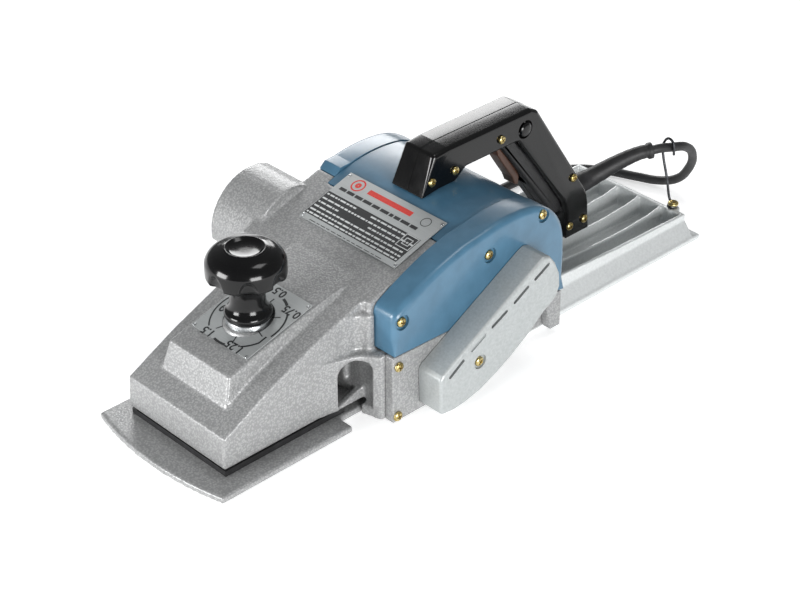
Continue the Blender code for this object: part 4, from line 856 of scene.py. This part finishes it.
def depthKnob():
    low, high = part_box("depth_knob")
    x, t, base = (low.x + high.x) / 2, high.z, low.z
    r = knob["radius"]
    rough = [(0.0001, t - 0.0029), (0.0060, t - 0.0028), (0.0108, t - 0.0021), (0.0130, t - 0.0008),
             (0.0142, t), (0.0154, t - 0.0002), (r * 0.62, t - 0.0012), (r * 0.78, t - 0.0030),
             (r * 0.90, t - 0.0059), (r * 0.975, t - 0.0096), (r, t - 0.0130), (r, t - 0.0205),
             (r * 0.985, t - 0.0225), (r * 0.94, t - 0.0240), (r * 0.84, t - 0.0255), (r * 0.70, t - 0.0271),
             (0.0165, t - 0.0290), (0.0142, t - 0.0318), (0.0132, t - 0.0360), (0.0131, t - 0.0400),
             (0.0136, base + 0.0110), (0.0150, base + 0.0072), (0.0170, base + 0.0050),
             (0.0177, base + 0.0034), (0.0177, base + 0.0016), (0.0170, base)]
    profile = [tuple(p) for p in smoothPath(rough, 4)]
    profile += [(0.0043, base), (0.0043, t - 0.0150), (0.0001, t - 0.0150)]
    mesh = turnedMesh(profile, (x, 0), "Z", 192, lambda a, rr, h: knobShape(a, rr, h, t))
    finished("fluted_knob", tidied(mesh, 50), "black_bakelite", "depth_knob", ["depth_knob"])
    low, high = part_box("knob_ring")
    outer = high.x - x
    ring = [(outer - 0.0012, high.z), (outer - 0.0004, high.z - 0.0004), (outer, high.z - 0.0011),
            (outer, low.z + 0.0005), (outer - 0.0005, low.z), (0.0053, low.z), (0.0053, high.z)]
    mesh = turnedMesh([*ring, ring[0]], (x, 0), "Z", 96)
    finished("bright_ring", tidied(mesh, 40), "bright_steel", replaced=["knob_ring"])


dial = {"centre": 0.1655, "corner": (0.1292, 0.0913), "end": (0.1939, 0.0739), "above": 0.0011,
        "tickInner": 0.0178, "tickOuter": 0.0245, "tickWidth": 0.0009, "numberHeight": 0.0070,
        "arcRadius": 0.0292,
        "rivets": ([(-33, 29), (-33, -29), (27.5, 29.0), (27.5, -29.0)], 0.0013),
        "numbers": [("1.5", 26.7, -14.6), ("1.25", 25.9, 14.0), ("1", 8.7, 26.3), ("0.75", -22.5, 22.8),
                    ("0.5", -31.6, 0.0), ("0", 3.8, -23.7)],
        "arcs": [(-165, -105, 0.9, "grey_ink"), (-105, -40, 1.2, "black_ink"), (-11, 12, 2.0, "black_ink"),
                 (37, 65, 1.5, "black_ink"), (83, 131, 1.5, "black_ink"), (149, 165, 2.2, "black_ink")]}
plate = {  # marks in millimetres down and across the plate
    "corner": (0.0166, 0.12207), "end": (0.0700, 0.10596), "above": 0.0011,
    "ring": (7.6, -36.2), "seal": (8.2, 38.2), "square": (31, 41.2),
    "rows": [26.7, 31.7, 36.2, 40.8, 45.0, 48.7], "darkFields": {0: (-19, -2.5), 2: (-29, 4)},
    "rivets": ([(3, 50.5), (3, -50.5), (53, 50.5), (53, -50.5)], 0.0015),
}
film = 0.00006  # thickness of the print


# A frame on a sloping plate: x runs down the slope, y to the belt side, z off the plate.
def slopePlane(start, end, origin, above):
    (x0, z0), (x1, z1) = start, end
    down = Vector((x1 - x0, 0, z1 - z0)).normalized()
    side = Vector((0, 1, 0))
    up = down.cross(side)
    if up.z < 0:
        up = -up
    z = z0 + (z1 - z0) * (origin - x0) / (x1 - x0)
    matrix = Matrix((down, side, up)).transposed().to_4x4()
    matrix.translation = Vector((origin, 0, z)) + up * above
    return matrix


def band(points, width):  # a thin raised stripe along flat points
    bm = bmesh.new()
    low, high = [], []
    for i, p in enumerate(points):
        p = Vector(p)
        a = Vector(points[max(0, i - 1)])
        b = Vector(points[min(len(points) - 1, i + 1)])
        side = Vector((-(b - a).y, (b - a).x)).normalized() * width / 2
        low.append([bm.verts.new((*(p + s * side), -film / 2)) for s in (1, -1)])
        high.append([bm.verts.new((*(p + s * side), film)) for s in (1, -1)])
    for i in range(len(points) - 1):
        for a, b in ((low[i], low[i + 1]), (high[i + 1], high[i])):
            bm.faces.new((a[0], a[1], b[1], b[0]))
        for s in (0, 1):
            bm.faces.new((low[i][s], low[i + 1][s], high[i + 1][s], high[i][s]))
    for i in (0, -1):
        bm.faces.new((low[i][0], low[i][1], high[i][1], high[i][0]))
    bmesh.ops.recalc_face_normals(bm, faces=bm.faces)
    return meshFrom(bm, "band")


def circle(centre, radius, first=0, last=360, steps=40):
    turns = [math.radians(first + (last - first) * i / steps) for i in range(steps + 1)]
    return [(centre[0] + radius * math.cos(a), centre[1] + radius * math.sin(a)) for a in turns]


def numberMesh(text, s, y, height):
    curve = bpy.data.curves.new("number", "FONT")
    curve.body = text
    curve.size = height * 1.38
    curve.align_x, curve.align_y = "CENTER", "CENTER"
    curve.extrude = 0.00005
    curve.offset = 0.00022
    obj = bpy.data.objects.new("number", curve)
    scene.collection.objects.link(obj)
    mesh = asMesh(obj)
    mesh.transform(Matrix.Translation((s, y, 0.00002)) @ Matrix.Rotation(math.radians(-90), 4, "Z"))
    return mesh


def printed(name, meshes, plane, colour):
    mesh = joined(meshes)
    mesh.transform(plane)
    finished(name, tidied(mesh, 30), colour)


def dialPrint():
    plane = slopePlane(dial["corner"], dial["end"], dial["centre"], dial["above"])
    numbers = [numberMesh(t, s * mm, y * mm, dial["numberHeight"]) for t, s, y in dial["numbers"]]
    printed("dial_numbers", numbers, plane, "black_ink")
    for colour in ("black_ink", "grey_ink"):
        marks = []
        for first, last, width, printedIn in dial["arcs"]:
            if printedIn == colour:
                marks.append(band(circle((0, 0), dial["arcRadius"], first, last, 20), width * mm))
        printed("dial_arcs_" + colour.split("_")[0], marks, plane, colour)


def platePrint():
    plane = slopePlane(plate["corner"], plate["end"], plate["corner"][0], plate["above"])

    def bar(s0, s1, y0, y1):
        middle = (s0 + s1) / 2 * mm
        return band([(middle, y0 * mm), (middle, y1 * mm)], abs(s1 - s0) * mm)
    def ring(centre, radius, width):
        return band(circle((centre[0] * mm, centre[1] * mm), radius * mm), width * mm)
    red = [ring(plate["ring"], 5.6, 1.3), bar(5.6, 10.4, -24, 23), ring(plate["ring"], 1.6, 2.2)]
    printed("plate_red_marks", red, plane, "red_ink")
    black = [ring(plate["seal"], 4.2, 0.6), bar(24.0, 50.6, -52, 48.6)]
    draw = random.Random(5)

    def dashes(s0, s1, y0, y1, shortest, longest, gap):  # plain strokes in place of words
        made = []
        y = y0
        while y < y1 - shortest:
            end = min(y1, y + draw.uniform(shortest, longest))
            made.append(bar(s0, s1, y, end))
            y = end + gap
        return made
    black += dashes(15.6, 18.6, -47, 40, 3.5, 9.0, 1.3)
    black += dashes(54.2, 54.8, -42, 38, 2.5, 7.0, 1.6)
    printed("plate_black_marks", black, plane, "black_ink")
    light = []
    for k, middle in enumerate(plate["rows"]):
        dark = plate["darkFields"].get(k, (60, 60))
        for y0, y1 in ((-51, min(47.6, dark[0])), (dark[1], 34 if k < 3 else 47.6)):
            if y1 > y0:
                light += dashes(middle - 0.75, middle + 0.75, y0, y1, 1.6, 6.5, 1.0)
    s, y = plate["square"]
    for half in (6.4, 3.2):
        square = [(s - half, y - half), (s + half, y - half), (s + half, y + half), (s - half, y + half),
                  (s - half, y - half)]
        light.append(band([(a * mm, b * mm) for a, b in square], 0.9 * mm))
    lift = Matrix.Translation((0, 0, film))
    for mesh in light:
        mesh.transform(lift)
    printed("plate_light_marks", light, plane, "pale_ink")


# Geometry Nodes for what repeats

def nodeGroup(name, sockets):
    tree = bpy.data.node_groups.new(name, "GeometryNodeTree")
    tree.interface.new_socket(name="Geometry", in_out="INPUT", socket_type="NodeSocketGeometry")
    ids = {}
    for label, kind in sockets:
        ids[label] = tree.interface.new_socket(name=label, in_out="INPUT", socket_type=kind).identifier
    tree.interface.new_socket(name="Geometry", in_out="OUTPUT", socket_type="NodeSocketGeometry")
    start = addNode(tree, "NodeGroupInput")
    end = addNode(tree, "NodeGroupOutput")
    return tree, ids, start, end


def realised(tree, placed, start, end):  # instances made plain, in the group's finish
    real = addNode(tree, "GeometryNodeRealizeInstances", None, {"Geometry": placed.outputs[0]})
    painted = addNode(tree, "GeometryNodeSetMaterial", None,
                      {"Geometry": real.outputs[0], "Material": start.outputs["Finish"]})
    tree.links.new(painted.outputs[0], end.inputs["Geometry"])


def pointCloud(name, points, facings):
    mesh = bpy.data.meshes.new(name)
    mesh.from_pydata([tuple(p) for p in points], [], [])
    facing = mesh.attributes.new("facing", "FLOAT_VECTOR", "POINT")
    for i, way in enumerate(facings):
        facing.data[i].vector = way
    return mesh


def repeated(name, group, ids, values, points, facings):
    mesh = pointCloud(name, points, facings)
    obj = bpy.data.objects.new(name, mesh)
    scene.collection.objects.link(obj)
    step = obj.modifiers.new("repeat", "NODES")
    step.node_group = group
    for label, value in values.items():
        step[ids[label]] = value
    made = asMesh(obj)
    if "facing" in made.attributes:
        made.attributes.remove(made.attributes["facing"])
    return made


# One pattern on every point, turned to face its own way, with a seeded turn about that axis.
def scatterTree():
    tree, ids, start, end = nodeGroup("fastener_scatter", [
        ("Pattern", "NodeSocketObject"), ("Size", "NodeSocketFloat"), ("Turn Seed", "NodeSocketInt"),
        ("Finish", "NodeSocketMaterial")])
    pattern = addNode(tree, "GeometryNodeObjectInfo", None, {"Object": start.outputs["Pattern"]})
    facing = addNode(tree, "GeometryNodeInputNamedAttribute", {"data_type": "FLOAT_VECTOR"},
                     {"Name": "facing"})
    aimed = addNode(tree, "FunctionNodeAlignRotationToVector", {"axis": "Z"}, {"Vector": facing.outputs[0]})
    spin = addNode(tree, "FunctionNodeRandomValue", {"data_type": "FLOAT"},
                   {2: 0.0, 3: 1.57, "Seed": start.outputs["Turn Seed"]})
    axis = addNode(tree, "FunctionNodeAxisAngleToRotation", None,
                   {"Axis": (0, 0, 1), "Angle": spin.outputs[1]})
    turned = addNode(tree, "FunctionNodeRotateRotation", {"rotation_space": "LOCAL"},
                     {"Rotation": aimed.outputs[0], "Rotate By": axis.outputs[0]})
    placed = addNode(tree, "GeometryNodeInstanceOnPoints", None,
                     {"Points": start.outputs["Geometry"], "Instance": pattern.outputs["Geometry"],
                      "Rotation": turned.outputs[0], "Scale": start.outputs["Size"]})
    realised(tree, placed, start, end)
    return tree, ids


# Short bars on a circle, one for each step of the dial.
def tickTree():
    tree, ids, start, end = nodeGroup("dial_ticks", [
        ("Count", "NodeSocketInt"), ("Inner Radius", "NodeSocketFloat"), ("Outer Radius", "NodeSocketFloat"),
        ("Width", "NodeSocketFloat"), ("First Angle", "NodeSocketFloat"), ("Finish", "NodeSocketMaterial")])
    reach = addNode(tree, "ShaderNodeMath", {"operation": "SUBTRACT"},
                    {0: start.outputs["Outer Radius"], 1: start.outputs["Inner Radius"]})
    size = addNode(tree, "ShaderNodeCombineXYZ", None,
                   {"X": reach.outputs[0], "Y": start.outputs["Width"], "Z": 0.00009})
    bar = addNode(tree, "GeometryNodeMeshCube", None, {"Size": size.outputs[0]})
    middle = addNode(tree, "ShaderNodeMath", {"operation": "MULTIPLY_ADD"},
                     {0: reach.outputs[0], 1: 0.5, 2: start.outputs["Inner Radius"]})
    offset = addNode(tree, "ShaderNodeCombineXYZ", None, {"X": middle.outputs[0], "Z": 0.00002})
    moved = addNode(tree, "GeometryNodeTransform", None,
                    {"Geometry": bar.outputs["Mesh"], "Translation": offset.outputs[0]})
    row = addNode(tree, "GeometryNodeMeshLine", {"mode": "OFFSET"},
                  {"Count": start.outputs["Count"], "Offset": (0, 0, 0)})
    index = addNode(tree, "GeometryNodeInputIndex")
    angle = addNode(tree, "ShaderNodeMath", {"operation": "MULTIPLY_ADD"},
                    {0: index.outputs[0], 1: 2 * math.pi / 7, 2: start.outputs["First Angle"]})
    turn = addNode(tree, "ShaderNodeCombineXYZ", None, {"Z": angle.outputs[0]})
    placed = addNode(tree, "GeometryNodeInstanceOnPoints", None,
                     {"Points": row.outputs[0], "Instance": moved.outputs[0], "Rotation": turn.outputs[0]})
    realised(tree, placed, start, end)
    return tree, ids


screwHead = {"height": 0.62, "recessDepth": 0.42, "recessWidth": 0.26, "recessLength": 1.15}


def headPattern():  # a pan head one unit in radius, with a cross recess
    h = screwHead["height"]
    rough = [(0.0001, h), (0.30, h * 0.985), (0.62, h * 0.90), (0.86, h * 0.70), (0.98, h * 0.42),
             (1.0, h * 0.20), (0.97, 0.06), (0.97, -0.02), (0.0001, -0.02)]
    head = tidied(turnedMesh(rough, (0, 0), "Z", 40))
    bars = []
    long, wide = screwHead["recessLength"] / 2, screwHead["recessWidth"] / 2
    for turn in (0, 90):
        mesh = boxMesh((-long, -wide, h - screwHead["recessDepth"]), (long, wide, h + 0.3))
        mesh.transform(Matrix.Rotation(math.radians(turn), 4, "Z"))
        bars.append(mesh)
    head = carved(head, bars)
    obj = bpy.data.objects.new("head_pattern", head)
    scene.collection.objects.link(obj)
    return obj


def studPattern():  # a low round rivet head one unit in radius
    rough = [(0.0001, 0.42), (0.35, 0.39), (0.68, 0.27), (0.90, 0.12), (1.0, -0.02), (0.0001, -0.02)]
    obj = bpy.data.objects.new("stud_pattern", tidied(turnedMesh(rough, (0, 0), "Z", 20)))
    scene.collection.objects.link(obj)
    return obj


screwGroups = {  # piece name: nodes, facing, sunk below the CAD seat
    "cover_screws": (["top_cover_screw", "middle_cover_screw", "front_cover_screw"], (0, 1, 0), 0.0022),
    "plate_screws": (["upper_plate_screw", "lower_plate_screw"], (0, 1, 0), 0),
    "belt_screw": (["belt_cover_screw"], (0, 1, 0), 0),
    "handle_screws": (["handle_screw_%d" % i for i in range(1, 7)], (0, 1, 0), 0),
    "hanger_clamp_screw": (["hanger_screw"], (0, 0, 1), 0),
}


def fasteners():
    tree, ids = scatterTree()
    head = headPattern()
    stud = studPattern()
    for seed, (name, (members, facing, sunk)) in enumerate(screwGroups.items()):
        way = Vector(facing)
        points = []
        for node in members:
            low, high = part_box(node)
            radius = (high.x - low.x) / 2
            centre = (low + high) / 2
            seat = (high.y if facing[1] else high.z) - radius * screwHead["height"] - sunk
            points.append((centre.x, seat, centre.z) if facing[1] else (centre.x, centre.y, seat))
        values = {"Pattern": head, "Size": radius, "Turn Seed": seed + 3, "Finish": finishes["yellow_zinc"]}
        heads = repeated(name, tree, ids, values, points, [way] * len(points))
        finished(name, tidied(heads, 35), "yellow_zinc", replaced=members)
    rivets = []
    dialFace = slopePlane(dial["corner"], dial["end"], dial["centre"], dial["above"])
    plateFace = slopePlane(plate["corner"], plate["end"], plate["corner"][0], plate["above"])
    for plane, (spots, radius) in ((dialFace, dial["rivets"]), (plateFace, plate["rivets"])):
        points = [plane @ Vector((s * mm, y * mm, 0)) for s, y in spots]
        up = plane.to_3x3() @ Vector((0, 0, 1))
        values = {"Pattern": stud, "Size": radius, "Turn Seed": 1, "Finish": finishes["bright_steel"]}
        rivets.append(repeated("rivets", tree, ids, values, points, [up] * 4))
    finished("plate_rivets", tidied(joined(rivets), 35), "bright_steel")
    ticks, tickIds = tickTree()
    values = {"Count": 7, "Inner Radius": dial["tickInner"], "Outer Radius": dial["tickOuter"],
              "Width": dial["tickWidth"], "First Angle": math.radians(-81), "Finish": finishes["black_ink"]}
    marks = repeated("ticks", ticks, tickIds, values, [(0, 0, 0)], [(0, 0, 1)])
    printed("dial_ticks", [marks], dialFace, "black_ink")
    for spare in (head, stud):
        bpy.data.objects.remove(spare)
    print("fasteners done")


# wire hanger

hanger = {
    "screw": (-0.2572, 0.0460, 0.0242), "eye": 0.0042, "wire": 0.0011,
    "arm": [(-0.2600, 0.0400, 0.0265), (-0.2592, 0.0360, 0.0450), (-0.2590, 0.0305, 0.0640),
            (-0.2590, 0.0292, 0.0745), (-0.2590, 0.0322, 0.0815), (-0.2590, 0.0362, 0.0832),
            (-0.2590, 0.0402, 0.0800), (-0.2592, 0.0412, 0.0700)],
}


def wireHanger():
    x, y, z = hanger["screw"]
    turns = [math.radians(20 - 30 * i) for i in range(8)]
    eye = [(x + hanger["eye"] * math.cos(a), y + hanger["eye"] * math.sin(a), z) for a in turns]
    mesh = tubeMesh(smoothPath(eye + hanger["arm"], 6), hanger["wire"], None, 4)
    finished("wire_hanger", mesh, "laminated_steel", replaced=["cord_hanger"])


# CAD nodes that keep their shape

plainNodes = {
    "label_aluminium": ["scale_plate", "rating_plate"],
    "bright_steel": ["cutter_drum", "knife_1", "knife_2", "knife_clamp_1", "knife_clamp_2",
                     "drum_bearing_near", "drum_bearing_far", "drum_pulley", "motor_pulley",
                     "motor_bearing_near", "motor_bearing_far", "depth_spindle", "spindle_clip",
                     "shoe_spring", "trigger_pin"],
    "laminated_steel": ["armature", "stator"],
    "copper": ["commutator", "brush_holder_front", "brush_holder_rear"],
    # shoe_seal is a black rubber band on the shoe under the nose, put there as painted shade for the dark gap
    # between shoe and nose
    "brown_plastic": ["cooling_fan"], "black_rubber": ["drive_belt", "switch_body", "shoe_seal"],
}


def carriedOver():
    for finish, names in plainNodes.items():
        for name in names:
            piece = nodes[name]
            if not piece.data.materials:
                piece.data.materials.append(finishes[finish])
            for slot in piece.material_slots:
                slot.material = finishes[finish]


addCamera()
addFloor()
addLights()
mainsLead()
castings()
blueShell()
beltSide()
handleHalves()
depthKnob()
dialPrint()
platePrint()
fasteners()
wireHanger()
carriedOver()
